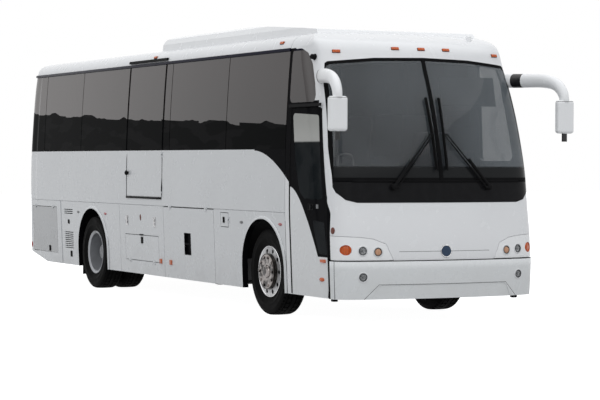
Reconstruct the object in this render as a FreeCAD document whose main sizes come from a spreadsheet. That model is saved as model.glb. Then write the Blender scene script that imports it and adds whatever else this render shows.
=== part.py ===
import FreeCAD, Part
import math
import os
import Sketcher
from FreeCAD import Placement, Rotation, Vector

# A 10.4 m two-axle touring coach with a wheelchair lift door on its right side.
# Millimetres. X points forward, Y to the left, Z up. The origin is on the ground under the
# middle of the overall box. Everything is drawn from the front axle and then moved by front_axle_x,
# so a size that ends in _ahead or _back is a distance before or behind the front axle.

doc = FreeCAD.newDocument("coach")
sheet = doc.addObject("Spreadsheet::Sheet", "sizes")
nodes = {}


class Sizes:
    """Reads a driving dimension back from the sheet by its alias."""

    def __getattr__(self, alias):
        return float(sheet.get(alias))


size = Sizes()
sheet_rows = iter(range(1, 1000))


def add_sizes(**values):
    """Writes driving dimensions to the sheet, one row each, with the alias beside the number."""
    for alias, value in values.items():
        row = next(sheet_rows)
        sheet.set("A%d" % row, alias)
        sheet.set("B%d" % row, str(value))
        sheet.setAlias("B%d" % row, alias)
    sheet.recompute()


# The whole vehicle: where the axles are, how thick walls are, and how pieces meet
add_sizes(
    front_axle_x=3079.7,
    wheelbase=5550,
    wall=55,
    leaf_wall=45,
    glass_thickness=8,
    leaf_gap=4,
    seam_width=8,
    seam_depth=12,
    seat_gap=0.3,
    overrun=300,
)


def add_node(name, piece):
    """Registers a finished sub-part under the name of its file."""
    piece.Label = name
    nodes[name] = piece
    return piece


def feature(name, shape):
    """A sub-part whose shape comes from Part's functions, moved from the axle to the row's frame."""
    piece = doc.addObject("Part::Feature", name)
    place = shape.Placement
    piece.Shape = shape
    piece.Placement = Placement(Vector(size.front_axle_x, 0, 0), Rotation()).multiply(place)
    return add_node(name, piece)


def tie_place(piece, at):
    """Binds a piece's place to the sheet; at holds one expression for each axis."""
    along, across, up = at
    piece.setExpression(".Placement.Base.x", "sizes.front_axle_x + " + along)
    piece.setExpression(".Placement.Base.y", across)
    piece.setExpression(".Placement.Base.z", up)


def primitive(kind, name, at, turn=None, **lengths):
    """A Part primitive with its sizes and its place bound to the sheet."""
    piece = doc.addObject("Part::" + kind, name)
    if turn:
        piece.Placement = Placement(Vector(), Rotation(*turn))
    for key, expression in lengths.items():
        piece.setExpression(key, expression)
    tie_place(piece, at)
    return piece


def fuse(name, pieces):
    """Fuses pieces into one object of the document."""
    result = doc.addObject("Part::MultiFuse", name)
    result.Shapes = pieces
    result.Refine = True
    return result


def cut(name, base, tool):
    """Cuts one object of the document from another."""
    result = doc.addObject("Part::Cut", name)
    result.Base = base
    result.Tool = tool
    return result


def outline_sketch(body, name, role, corners):
    """A closed sketch on one of the body's origin planes; each corner is tied to the sheet."""
    sketch = body.newObject("Sketcher::SketchObject", name)
    plane = [item for item in body.Origin.OriginFeatures if item.Role == role][0]
    sketch.AttachmentSupport = [(plane, "")]
    sketch.MapMode = "FlatFace"
    places = [Vector(float(sketch.evalExpression(a)), float(sketch.evalExpression(b)), 0) for a, b in corners]
    for index, place in enumerate(places):
        following = places[(index + 1) % len(places)]
        sketch.addGeometry(Part.LineSegment(place, following), False)
    for index in range(len(places)):
        sketch.addConstraint(Sketcher.Constraint("Coincident", index, 2, (index + 1) % len(places), 1))
    for index, corner in enumerate(corners):
        for direction, expression in zip(("DistanceX", "DistanceY"), corner):
            value = float(sketch.evalExpression(expression))
            number = sketch.addConstraint(Sketcher.Constraint(direction, -1, 1, index, 1, value))
            sketch.setExpression("Constraints[%d]" % number, expression)
    return sketch


def revolved(name, corners, at):
    """A body turned about its own Y axis from an outline of (radius, across) corners."""
    body = doc.addObject("PartDesign::Body", name)
    sketch = outline_sketch(body, name + "_outline", "XY_Plane", corners)
    turned = body.newObject("PartDesign::Revolution", name + "_turned")
    turned.Profile = sketch
    turned.ReferenceAxis = (sketch, ["V_Axis"])
    turned.Angle = 360
    tie_place(body, at)
    return body


# The body's form: a barrel section drawn along the vehicle, closed by a bowed front and rear
add_sizes(
    nose_reach=2024,
    tail_reach=8384,
    sill_height=288,
    sill_half_width=1235,
    belt_height=1200,
    belt_half_width=1272,
    middle_height=2125,
    middle_half_width=1259,
    cantrail_height=3052,
    cantrail_half_width=1200,
    roof_bend_height=3165,
    roof_bend_half_width=1138,
    roof_edge_height=3218,
    roof_edge_half_width=1000,
    roof_height=3300,
    kink_back=7490,
    tail_sill_height=460,
)

# Each end is a profile at the middle plane, as shares of the reach and of the roof's height,
# and a bow across the width, as shares of the reach and of the belt's half width.
FRONT_PROFILE_SHARES = [
    (0.9807, 0.0606), (0.9931, 0.1364), (1.0000, 0.2091), (0.9960, 0.2667), (0.9807, 0.3364), (0.9629, 0.4030),
    (0.9457, 0.4848), (0.9121, 0.5788), (0.8439, 0.7212), (0.7826, 0.8152), (0.7332, 0.8879), (0.7174, 0.9152),
    (0.6868, 0.9379), (0.6126, 0.9591), (0.4842, 0.9773), (0.2767, 0.9909), (0.0000, 0.9988), (-0.3458, 1.0091),
]
FRONT_BOW_SHARES = [
    (0, 0), (-0.0059, 0.2752), (-0.0227, 0.5503), (-0.0455, 0.7626), (-0.0751, 0.9041), (-0.1112, 0.9686),
    (-0.1828, 0.9961), (-0.3162, 1.0071),
]
REAR_PROFILE_SHARES = [
    (-0.9930, 0.0909), (-0.9953, 0.2121), (-0.9986, 0.3636), (-1.0000, 0.5152), (-0.9959, 0.7273),
    (-0.9900, 0.8939), (-0.9854, 0.9303), (-0.9733, 0.9606), (-0.9423, 0.9833), (-0.8826, 0.9970),
    (-0.8111, 1.0091),
]
REAR_BOW_SHARES = [
    (0, 0), (0.0005, 0.2752), (0.0019, 0.5503), (0.0043, 0.7626), (0.0088, 0.8962), (0.0155, 0.9654),
    (0.0310, 0.9961), (0.0620, 1.0071),
]


def barrel(inset):
    """The constant section of the body, set in from the outer skin, as a long bar."""
    slope = (size.belt_half_width - size.sill_half_width) / (size.belt_height - size.sill_height)
    foot = size.sill_half_width - slope * size.sill_height - inset

    def half(side):
        """Corners of one side from the ground up to the edge of the roof's crown."""
        def place(across, up):
            return Vector(0, side * across, up)
        ground = place(foot, 0)
        belt = place(size.belt_half_width - inset, size.belt_height)
        middle = place(size.middle_half_width - inset, size.middle_height)
        cantrail = place(size.cantrail_half_width - inset, size.cantrail_height)
        bend = place(size.roof_bend_half_width - inset, size.roof_bend_height - inset)
        edge = place(size.roof_edge_half_width - inset, size.roof_edge_height - inset)
        return ground, belt, middle, cantrail, bend, edge

    left = half(1)
    right = half(-1)
    crown = Vector(0, 0, size.roof_height - inset)
    edges = [
        Part.LineSegment(right[0], left[0]).toShape(),
        Part.LineSegment(left[0], left[1]).toShape(),
        Part.Arc(left[1], left[2], left[3]).toShape(),
        Part.Arc(left[3], left[4], left[5]).toShape(),
        Part.Arc(left[5], crown, right[5]).toShape(),
        Part.Arc(right[5], right[4], right[3]).toShape(),
        Part.Arc(right[3], right[2], right[1]).toShape(),
        Part.LineSegment(right[1], right[0]).toShape(),
    ]
    section = Part.Face(Part.Wire(edges))
    section.translate(Vector(-size.tail_reach - size.overrun, 0, 0))
    return section.extrude(Vector(size.tail_reach + size.nose_reach + 2 * size.overrun, 0, 0))


def end_cutter(profile_shares, bow_shares, reach, inset, direction):
    """Everything beyond one end of the body: the profile carried across the width along the bow."""
    profile = [(reach * x - direction * inset, size.roof_height * z) for x, z in profile_shares]
    bow = [(reach * x, size.belt_half_width * y) for x, y in bow_shares]
    line = Part.BSplineCurve()
    line.interpolate([Vector(x, 0, z) for x, z in profile])
    across = [(x, -y) for x, y in reversed(bow[1:])] + bow
    curve = Part.BSplineCurve()
    curve.interpolate([Vector(x, y, 0) for x, y in across])

    def narrowing(height):
        """Share of the belt's width that the section has at a height."""
        if height < size.belt_height:
            return 1
        rise = (height - size.belt_height) / (size.cantrail_height - size.belt_height)
        drop = size.belt_half_width - size.cantrail_half_width
        bulge = size.middle_half_width - (size.belt_half_width + size.cantrail_half_width) / 2
        half = size.belt_half_width - drop * rise + bulge * 4 * rise * (1 - rise)
        return half / size.belt_half_width

    poles = [
        [Vector(p.x + q.x, q.y * narrowing(min(p.z, size.cantrail_height)), p.z) for q in curve.getPoles()]
        for p in line.getPoles()
    ]
    surface = Part.BSplineSurface()
    surface.buildFromPolesMultsKnots(
        poles, line.getMultiplicities(), curve.getMultiplicities(), line.getKnots(), curve.getKnots(),
        False, False, line.Degree, curve.Degree,
    )
    return surface.toShape().extrude(Vector(direction * 2 * size.nose_reach, 0, 0))


forms = {}


def form(inset):
    """The whole body as one solid, set in from the outer skin by a distance."""
    if inset not in forms:
        bar = barrel(inset)
        bar = bar.cut(end_cutter(FRONT_PROFILE_SHARES, FRONT_BOW_SHARES, size.nose_reach, inset, 1))
        bar = bar.cut(end_cutter(REAR_PROFILE_SHARES, REAR_BOW_SHARES, size.tail_reach, inset, -1))
        forms[inset] = bar
    return forms[inset]


def skin(region, outer, inner):
    """The part of a region that lies between two insets of the body's form."""
    return region.common(form(outer)).cut(form(inner))


def inside(region):
    """The part of a region within the body's walls, just clear of them."""
    return region.common(form(size.wall + size.seat_gap))


def block(x0, x1, y0, y1, z0, z1):
    """A box given by its two ends on each axis."""
    return Part.makeBox(x1 - x0, y1 - y0, z1 - z0, Vector(x0, y0, z0))


def wide_block(x0, x1, z0, z1):
    """A box across the whole width of the body."""
    half = size.belt_half_width + size.overrun
    return block(x0, x1, -half, half, z0, z1)


def rounded_wire(points, radius):
    """A closed wire through corner points with an arc of one radius at each corner."""
    edges = []
    joints = []
    count = len(points)
    for index, corner in enumerate(points):
        before = (points[index - 1] - corner).normalize()
        after = (points[(index + 1) % count] - corner).normalize()
        turn = before.getAngle(after)
        reach = radius / math.tan(turn / 2)
        middle = (before + after).normalize()
        rise = radius / math.sin(turn / 2) - radius
        joints.append((corner + before * reach, corner + middle * rise, corner + after * reach))
    for index, (start, middle, end) in enumerate(joints):
        edges.append(Part.Arc(start, middle, end).toShape())
        edges.append(Part.LineSegment(end, joints[(index + 1) % count][0]).toShape())
    return Part.Wire(edges)


def outline_face(points, radius=0):
    """A flat face from corner points, with round corners where a radius is given."""
    if radius:
        return Part.Face(rounded_wire(points, radius))
    return Part.Face(Part.makePolygon(points + points[:1]))


def side_prism(outline, side, radius=0):
    """An outline of (x, z) points carried through one side wall; side is 1 for left, -1 for right."""
    inner = size.belt_half_width - size.overrun
    points = [Vector(x, side * inner, z) for x, z in outline]
    return outline_face(points, radius).extrude(Vector(0, side * 2 * size.overrun, 0))


def side_block(x0, x1, z0, z1, side):
    """A rectangle carried through one side wall."""
    return side_prism([(x0, z0), (x1, z0), (x1, z1), (x0, z1)], side)


def end_prism(outline, x0, x1, radius=0):
    """An outline of (y, z) points carried along X."""
    points = [Vector(x0, y, z) for y, z in outline]
    return outline_face(points, radius).extrude(Vector(x1 - x0, 0, 0))


def front_prism(outline, radius=0):
    """An outline of (y, z) points carried through the front, as far back as the front module."""
    return end_prism(outline, size.front_module_ahead, size.nose_reach + size.overrun, radius)


def rear_prism(outline, radius=0):
    """An outline of (y, z) points carried through the rear wall."""
    return end_prism(outline, -size.tail_reach - size.overrun, -size.tail_reach + size.overrun, radius)


def inner_outline(outline, by):
    """A convex outline drawn in by a distance square to each of its edges."""
    count = len(outline)
    middle = (sum(p[0] for p in outline) / count, sum(p[1] for p in outline) / count)
    lines = []
    for index, (ax, az) in enumerate(outline):
        bx, bz = outline[(index + 1) % count]
        length = math.hypot(bx - ax, bz - az)
        normal = (-(bz - az) / length, (bx - ax) / length)
        if (middle[0] - ax) * normal[0] + (middle[1] - az) * normal[1] < 0:
            normal = (-normal[0], -normal[1])
        lines.append((normal, normal[0] * ax + normal[1] * az + by))
    points = []
    for index in range(count):
        (n1, d1), (n2, d2) = lines[index - 1], lines[index]
        spread = n1[0] * n2[1] - n1[1] * n2[0]
        points.append(((d1 * n2[1] - d2 * n1[1]) / spread, (n1[0] * d2 - n2[0] * d1) / spread))
    return points


# Where the body's panels part: module joints, belt, glass line, doors, flaps and wheel arches
add_sizes(
    front_module_ahead=600,
    rear_module_back=8222,
    glass_bottom=1915,
    pane_gap=16,
    pane_rim=50,
    glass_head_gap=12,
    rear_pane_margin=32,
    lift_pane_margin=48,
    rear_divider_back=7560,
    second_divider_back=6020,
    left_divider_back=4560,
    third_divider_back=2790,
    front_divider_back=1045,
    service_seam_back=6835,
    service_seam_width=40,
    arch_seam_back=4513,
    lift_door_front_back=3035,
    lift_door_length=1200,
    lift_door_bottom=1316,
    luggage_door_front_back=1387,
    luggage_door_length=1587,
    door_head=1192,
    lift_lid_front_back=3160,
    lift_lid_length=1160,
    lift_lid_bottom=464,
    lift_lid_height=338,
    rear_flap_front_back=7020,
    rear_flap_length=1055,
    rear_flap_bottom=440,
    rear_flap_top=1105,
    fuel_flap_front_back=954,
    fuel_flap_length=222,
    fuel_flap_bottom=990,
    fuel_flap_height=170,
    arch_radius=563,
    arch_height=552,
    arch_lip_width=34,
    arch_lip_height=18,
)


def opening_span(front_back, length, bottom, top):
    """An opening of a side wall as (rear, front, bottom, top)."""
    return -front_back - length, -front_back, bottom, top


LIFT_DOOR = opening_span(
    size.lift_door_front_back, size.lift_door_length, size.lift_door_bottom,
    size.cantrail_height - size.leaf_gap)
LUGGAGE_DOOR = opening_span(
    size.luggage_door_front_back, size.luggage_door_length, size.sill_height - size.overrun, size.door_head)
LIFT_LID = opening_span(
    size.lift_lid_front_back, size.lift_lid_length, size.lift_lid_bottom,
    size.lift_lid_bottom + size.lift_lid_height)
REAR_FLAP = opening_span(
    size.rear_flap_front_back, size.rear_flap_length, size.rear_flap_bottom, size.rear_flap_top)
FUEL_FLAP = opening_span(
    size.fuel_flap_front_back, size.fuel_flap_length, size.fuel_flap_bottom,
    size.fuel_flap_bottom + size.fuel_flap_height)


def leaf_block(opening, side, by):
    """The prism of an opening, drawn in on every edge; a negative distance widens it."""
    rear, front, bottom, top = opening
    return side_block(rear + by, front - by, bottom + by, top - by, side)


def belly_cutter():
    """Everything below the sill line, which rises behind the rear wheels."""
    half = size.belt_half_width + size.overrun
    rise = (size.tail_sill_height - size.sill_height) / (size.tail_reach - size.kink_back)
    front = size.nose_reach + size.overrun
    rear = -size.tail_reach - size.overrun
    outline = [
        (front, size.sill_height), (-size.kink_back, size.sill_height),
        (rear, size.tail_sill_height + rise * size.overrun), (rear, -size.overrun), (front, -size.overrun),
    ]
    face = outline_face([Vector(x, -half, z) for x, z in outline])
    return face.extrude(Vector(0, 2 * half, 0))


BELLY = belly_cutter()


def seams():
    """Open grooves in the outer skin along every joint between two fixed panels."""
    rear = -size.rear_module_back
    front = size.front_module_ahead
    half = size.seam_width / 2
    wide = size.service_seam_width / 2
    top = size.roof_height + size.overrun
    tools = [
        wide_block(rear - half, rear + half, 0, top),
        wide_block(front - half, front + half, 0, top),
        wide_block(rear, front, size.belt_height - half, size.belt_height + half),
        wide_block(rear, front, size.cantrail_height - half, size.cantrail_height + half),
        wide_block(-size.service_seam_back - wide, -size.service_seam_back + wide, 0, size.belt_height),
        wide_block(-size.arch_seam_back - half, -size.arch_seam_back + half, 0, size.belt_height),
    ]
    return tools[0].multiFuse(tools[1:]).cut(form(size.seam_depth))


SEAMS = seams()

# Hinges of flaps and doors: a moving knuckle between two fixed ones, with a leaf on each panel
add_sizes(
    hinge_radius=5,
    hinge_knuckle=24,
    hinge_leaf=26,
    hinge_proud=3,
    hinge_bite=6,
    hinge_spread=0.36,
)


def hinge(at, along, outward, fixed_way, depth):
    """Returns the moving and the fixed half of a hinge; depth is how far the skin lies below its pin."""
    halves = {True: [], False: []}
    for place in (-1, 0, 1):
        moving = place == 0
        way = fixed_way * (-1 if moving else 1)
        start = at + along * ((place - 0.5) * size.hinge_knuckle + place * size.seat_gap)
        halves[moving].append(Part.makeCylinder(size.hinge_radius, size.hinge_knuckle, start, along))
        low = outward * -(depth + size.hinge_bite)
        high = outward * size.hinge_proud
        reach = way * size.hinge_leaf
        corners = [start + low, start + high, start + high + reach, start + low + reach]
        halves[moving].append(outline_face(corners).extrude(along * size.hinge_knuckle))
    return halves[True], halves[False]


def side_hinges(opening, side, edge, pin_height_or_x, pin_half_width, stations):
    """Hinges of a flap in a side wall, on its top, bottom, front or rear edge."""
    movers, fixtures = [], []
    outward = Vector(0, side, 0)
    for station in stations:
        if edge in ("top", "bottom"):
            at = Vector(station, side * pin_half_width, pin_height_or_x)
            along = Vector(1, 0, 0)
            fixed_way = Vector(0, 0, 1 if edge == "top" else -1)
        else:
            at = Vector(pin_height_or_x, side * pin_half_width, station)
            along = Vector(0, 0, 1)
            fixed_way = Vector(1 if edge == "front" else -1, 0, 0)
        depth = pin_half_width - side_reach(at.z)
        moving, fixed = hinge(at, along, outward, fixed_way, depth)
        movers.extend(moving)
        fixtures.extend(fixed)
    return movers, fixtures


def side_reach(height):
    """Half width of the body's straight part at a height."""
    section = form(0).slice(Vector(1, 0, 0), -size.wheelbase / 2)[0]
    line = Part.makeLine(Vector(-size.wheelbase / 2, 0, height),
                         Vector(-size.wheelbase / 2, size.belt_half_width + size.overrun, height))
    return line.common(Part.Face(section)).BoundBox.YMax


# Pins of the hinges: how far out from the middle plane, or how far behind the front axle
add_sizes(
    luggage_pin_half_width=1277,
    lift_pin_half_width=1279,
    lift_lid_pin_half_width=1247.5,
    fuel_pin_half_width=1275.5,
    rear_flap_pin_half_width=1273.5,
    lift_pin_back=3031,
    lift_hinge_low=1400,
    lift_hinge_high=1860,
    engine_pin_back=8390,
    engine_lid_top=1756,
    engine_hinge_y=300,
)


def spread_stations(opening):
    """Two hinge stations, each a share of the opening's length from its middle."""
    rear, front, bottom, top = opening
    middle = (rear + front) / 2
    return [middle - (front - rear) * size.hinge_spread, middle + (front - rear) * size.hinge_spread]


FUEL_MIDDLE = size.fuel_flap_bottom + size.fuel_flap_height / 2
HINGES = {
    "luggage_right": side_hinges(
        LUGGAGE_DOOR, -1, "top", size.door_head, size.luggage_pin_half_width, spread_stations(LUGGAGE_DOOR)),
    "luggage_left": side_hinges(
        LUGGAGE_DOOR, 1, "top", size.door_head, size.luggage_pin_half_width, spread_stations(LUGGAGE_DOOR)),
    "lift_lid": side_hinges(
        LIFT_LID, -1, "bottom", size.lift_lid_bottom, size.lift_lid_pin_half_width, spread_stations(LIFT_LID)),
    "rear_right": side_hinges(
        REAR_FLAP, -1, "top", size.rear_flap_top, size.rear_flap_pin_half_width, spread_stations(REAR_FLAP)),
    "rear_left": side_hinges(
        REAR_FLAP, 1, "top", size.rear_flap_top, size.rear_flap_pin_half_width, spread_stations(REAR_FLAP)),
    "fuel": side_hinges(
        FUEL_FLAP, -1, "front", -size.fuel_flap_front_back, size.fuel_pin_half_width, [FUEL_MIDDLE]),
    "lift_door": side_hinges(
        LIFT_DOOR, -1, "front", -size.lift_pin_back, size.lift_pin_half_width,
        [size.lift_hinge_low, size.lift_hinge_high]),
}


def right_spans():
    """Panes of the right side, which leave the lift door free."""
    rear, front, bottom, top = LIFT_DOOR
    edges = [-size.rear_divider_back, -size.second_divider_back]
    half = size.pane_gap / 2
    return [
        (-size.rear_module_back + size.rear_pane_margin, edges[0] - half), (edges[0] + half, edges[1] - half),
        (edges[1] + half, rear - size.lift_pane_margin),
        (front + size.lift_pane_margin, -size.third_divider_back - half),
        (-size.third_divider_back + half, -size.front_divider_back - half),
        (-size.front_divider_back + half, size.front_module_ahead - half),
    ]


def left_spans():
    """Panes of the left side, a plain row."""
    edges = [size.rear_divider_back, size.second_divider_back, size.left_divider_back,
             size.third_divider_back, size.front_divider_back]
    half = size.pane_gap / 2
    starts = [-size.rear_module_back + size.rear_pane_margin] + [half - edge for edge in edges]
    ends = [-half - edge for edge in edges] + [size.front_module_ahead - half]
    return list(zip(starts, ends))


def side_wall(name, side, spans, openings, fixtures):
    """The wall above the belt rail, with a rebate for flush glazing and a hole behind every pane."""
    rear = -size.rear_module_back + size.seat_gap / 2
    front = size.front_module_ahead - size.seat_gap / 2
    foot = size.belt_height + size.seat_gap / 2
    head = size.cantrail_height - size.seat_gap / 2
    wall = skin(side_block(rear, front, foot, head, side), 0, size.wall).cut(SEAMS)
    band = side_block(rear - size.overrun, front + size.overrun, size.glass_bottom, head + size.overrun, side)
    wall = wall.cut(band.cut(form(size.glass_thickness)))
    for start, end in spans:
        hole = side_block(start + size.pane_rim, end - size.pane_rim, size.glass_bottom + size.pane_rim,
                          head - size.pane_rim, side)
        wall = wall.cut(hole)
    for opening in openings:
        wall = wall.cut(leaf_block(opening, side, -size.leaf_gap))
    feature(name, wall.multiFuse(fixtures).removeSplitter())


side_wall("side_wall_right", -1, right_spans(), [LIFT_DOOR], HINGES["luggage_right"][1] + HINGES["lift_door"][1])
side_wall("side_wall_left", 1, left_spans(), [], HINGES["luggage_left"][1])

# Air grilles in the lower panels beside the engine
add_sizes(
    grille_rear_back=6700,
    grille_length=350,
    high_grille_bottom=1017,
    high_grille_height=88,
    low_grille_bottom=523,
    low_grille_height=258,
    grille_slot=13,
    grille_pitch=28,
)


def arch_prism(centre_x, radius, side):
    """A wheel arch through one side: a half round on two straight legs."""
    low = -size.overrun
    height = size.arch_height
    wire = Part.Wire([
        Part.Arc(
            Vector(centre_x + radius, 0, height), Vector(centre_x, 0, height + radius),
            Vector(centre_x - radius, 0, height),
        ).toShape(),
        Part.LineSegment(Vector(centre_x - radius, 0, height), Vector(centre_x - radius, 0, low)).toShape(),
        Part.LineSegment(Vector(centre_x - radius, 0, low), Vector(centre_x + radius, 0, low)).toShape(),
        Part.LineSegment(Vector(centre_x + radius, 0, low), Vector(centre_x + radius, 0, height)).toShape(),
    ])
    face = Part.Face(wire)
    face.translate(Vector(0, side * (size.belt_half_width - size.overrun), 0))
    return face.extrude(Vector(0, side * 2 * size.overrun, 0))


def arch_lip(centre_x, side):
    """A rounded moulding round a wheel arch, square to the sloping panel."""
    inner = size.arch_radius
    outer = inner + size.arch_lip_width
    bulge = inner + size.arch_lip_width / 3
    section = [
        Part.LineSegment(Vector(outer, 0, 0), Vector(inner, 0, 0)).toShape(),
        Part.LineSegment(Vector(inner, 0, 0), Vector(inner, size.arch_lip_height, 0)).toShape(),
        Part.Arc(Vector(inner, size.arch_lip_height, 0),
                 Vector(bulge + size.arch_lip_width / 3, size.arch_lip_height * 3 / 4, 0),
                 Vector(outer, 0, 0)).toShape(),
    ]
    face = Part.Face(Part.Wire(section))
    ring = face.revolve(Vector(), Vector(0, 1, 0), -180)
    lip = [ring]
    for turned in (face, face.mirror(Vector(), Vector(1, 0, 0))):
        lip.append(turned.extrude(Vector(0, 0, -size.arch_height)))
    lip = lip[0].multiFuse(lip[1:])
    slope = (size.belt_half_width - size.sill_half_width) / (size.belt_height - size.sill_height)
    across = size.sill_half_width + slope * (size.arch_height - size.sill_height)
    if side < 0:
        lip = lip.mirror(Vector(), Vector(0, 1, 0))
    tilt = Rotation(Vector(1, 0, 0), -side * math.degrees(math.atan(slope)))
    lip.Placement = Placement(Vector(centre_x, side * across, size.arch_height), tilt)
    return lip


def grille_slots(side):
    """Level slots of the high and the low grille."""
    slots = []
    rear = -size.grille_rear_back
    for bottom, height in ((size.high_grille_bottom, size.high_grille_height),
                           (size.low_grille_bottom, size.low_grille_height)):
        for number in range(round(height / size.grille_pitch)):
            low = bottom + number * size.grille_pitch
            slots.append(side_block(rear, rear + size.grille_length, low, low + size.grille_slot, side))
    return slots


def skirts():
    """Fixed lower panels of both sides: rear corner, grille and arch, lift bay, and front arch."""
    pieces = []
    gap = size.seat_gap / 2
    door_rear, door_front, bottom, door_top = LUGGAGE_DOOR
    for side in (-1, 1):
        spans = [
            (-size.rear_module_back + gap, -size.service_seam_back - gap),
            (-size.service_seam_back + gap, -size.arch_seam_back - gap),
            (-size.arch_seam_back + gap, door_rear - size.leaf_gap),
            (door_front + size.leaf_gap, size.front_module_ahead - gap),
        ]
        tools = [SEAMS, BELLY, leaf_block(REAR_FLAP, side, -size.leaf_gap)]
        fixtures = [HINGES["rear_right" if side < 0 else "rear_left"][1], [], [], []]
        if side < 0:
            tools.append(leaf_block(LIFT_LID, side, -size.leaf_gap))
            tools.append(leaf_block(FUEL_FLAP, side, -size.leaf_gap))
            fixtures[2] = HINGES["lift_lid"][1]
            fixtures[3] = HINGES["fuel"][1]
        tools.extend(grille_slots(side))
        lips = [None, arch_lip(-size.wheelbase, side), None, arch_lip(0, side)]
        arches = [None, arch_prism(-size.wheelbase, size.arch_radius, side), None,
                  arch_prism(0, size.arch_radius, side)]
        for (rear, front), fixed, lip, arch in zip(spans, fixtures, lips, arches):
            region = side_block(rear, front, 0, size.belt_height - gap, side)
            panel = skin(region, 0, size.wall)
            if lip:
                panel = panel.fuse(lip).cut(arch)
            near = [tool for tool in tools if tool.BoundBox.intersect(panel.BoundBox)]
            panel = panel.cut(near)
            if fixed:
                panel = panel.multiFuse(fixed)
            pieces.extend(panel.removeSplitter().Solids)
    feature("skirt_panels", Part.Compound(pieces))


skirts()

# Hand recess of the luggage doors
add_sizes(
    grip_rear_back=2310,
    grip_length=195,
    grip_bottom=610,
    grip_height=260,
    grip_depth=28,
    grip_corner=40,
    grip_bar=26,
)


def grip_recess(side):
    """A rounded pocket with an upright bar across it to pull on."""
    rear = -size.grip_rear_back
    front = rear + size.grip_length
    low = size.grip_bottom
    high = low + size.grip_height
    pocket = side_prism([(rear, low), (front, low), (front, high), (rear, high)], side, size.grip_corner)
    pocket = pocket.cut(form(size.grip_depth))
    middle = (low + high) / 2
    return pocket.cut(side_block(rear, front, middle - size.grip_bar / 2, middle + size.grip_bar / 2, side))


def flap(name, opening, side, movers, recess=None):
    """A hinged panel of the skin that fills an opening with a gap all round."""
    panel = skin(leaf_block(opening, side, size.leaf_gap), 0, size.leaf_wall).cut(BELLY)
    if recess:
        panel = panel.cut(recess)
    feature(name, panel.multiFuse(movers).removeSplitter())


flap("luggage_door_right", LUGGAGE_DOOR, -1, HINGES["luggage_right"][0], grip_recess(-1))
flap("luggage_door_left", LUGGAGE_DOOR, 1, HINGES["luggage_left"][0], grip_recess(1))
flap("lift_compartment_lid", LIFT_LID, -1, HINGES["lift_lid"][0])
flap("fuel_flap", FUEL_FLAP, -1, HINGES["fuel"][0])
flap("rear_flap_right", REAR_FLAP, -1, HINGES["rear_right"][0])
flap("rear_flap_left", REAR_FLAP, 1, HINGES["rear_left"][0])


def lift_door():
    """The wheelchair door: a skin-thick leaf with flush glass above the belt."""
    rear, front, bottom, top = LIFT_DOOR
    leaf = skin(side_block(rear, front, bottom, top, -1), 0, size.leaf_wall)
    band = side_block(rear - size.overrun, front + size.overrun, size.glass_bottom, top + size.overrun, -1)
    leaf = leaf.cut(band.cut(form(size.glass_thickness)))
    rim = size.pane_rim
    leaf = leaf.cut(side_block(rear + rim, front - rim, size.glass_bottom + rim, top - rim, -1))
    feature("lift_door", leaf.multiFuse(HINGES["lift_door"][0]).removeSplitter())
    pane = side_block(rear + size.leaf_gap, front - size.leaf_gap, size.glass_bottom + size.seat_gap,
                      size.cantrail_height - size.glass_head_gap, -1)
    feature("lift_door_glass", skin(pane, 0, size.glass_thickness - size.seat_gap))


lift_door()

# Front module: mask, entry door, windshield, wiper panel, lamp panels and bumper
add_sizes(
    door_rear_ahead=732,
    door_length=900,
    door_bottom=288,
    door_height=2084,
    screen_half_width=1262,
    screen_bottom=1570,
    screen_height=1368,
    screen_depth=14.5,
    screen_rim=50,
    screen_seal=34,
    screen_sink=3,
    middle_seal_half=22,
    middle_seal_proud=6,
    wiper_panel_half_width=1258,
    wiper_panel_bottom=1330,
    wiper_panel_height=232,
    panel_thickness=20,
    lamp_panel_half_width=1400,
    bumper_top=704,
    lamp_panel_height=273,
    lamp_panel_thickness=40,
    panel_seam=4,
    bumper_rear_ahead=1650,
    bumper_proud=16,
    bumper_thickness=56,
    bumper_lap=60,
    bumper_step_depth=6,
    bumper_step_height=158,
    bumper_step_half_width=960,
    bumper_step_corner=90,
    cab_glass_corner=70,
    cab_glass_rim=25,
    badge_radius=68,
    badge_height=803,
    badge_depth=5,
)
DOOR_SHARES = [(0, 0), (0, 1), (0.7556, 1), (0.9578, 0.5144), (1, 0)]
DOOR_GLASS_SHARES = [(0.059, 0.965), (0.708, 0.951), (0.859, 0.524), (0.412, 0.526), (0.287, 0.558), (0.164, 0.706)]
DOOR_LOW_GLASS_SHARES = [(0.632, 0.396), (0.901, 0.389), (0.967, 0.236), (0.77, 0.240)]
PILLAR_SHARES = [
    (0.8399, 0.3758), (0.8370, 0.4773), (0.6530, 0.8667), (0.6077, 0.9091), (1.1858, 0.9091), (1.1858, 0.3758),
]
SCREEN_SHARES = [
    (-1, 0), (1, 0), (0.9334, 0.9247), (0.8875, 0.9576), (0.4754, 0.9905), (0, 1), (-0.4754, 0.9905),
    (-0.8875, 0.9576), (-0.9334, 0.9247),
]
WIPER_PANEL_SHARES = [
    (-0.8029, 0), (0.8029, 0), (0.8983, 0.1293), (0.9658, 0.4741), (1, 1), (-1, 1), (-0.9658, 0.4741),
    (-0.8983, 0.1293),
]
LAMP_PANEL_SHARES = [(0.4529, 0), (0.5114, 0.6557), (0.6143, 0.8645), (0.7286, 0.9377), (1, 1), (1, 0)]
QUARTER_GLASS_SHARES = [(0.326, 0.7382), (0.326, 0.9215), (0.432, 0.9215), (0.514, 0.9045), (0.575, 0.868),
                        (0.6203, 0.801), (0.6465, 0.7382)]
DRIVER_GLASS_SHARES = [(0.344, 0.5352), (0.344, 0.8952), (0.5128, 0.8952), (0.5711, 0.8715), (0.6097, 0.8291),
                       (0.7372, 0.5352)]


def door_place(shares):
    """Points of the entry door from shares of its length and height."""
    return [(size.door_rear_ahead + size.door_length * x, size.door_bottom + size.door_height * z)
            for x, z in shares]


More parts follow.
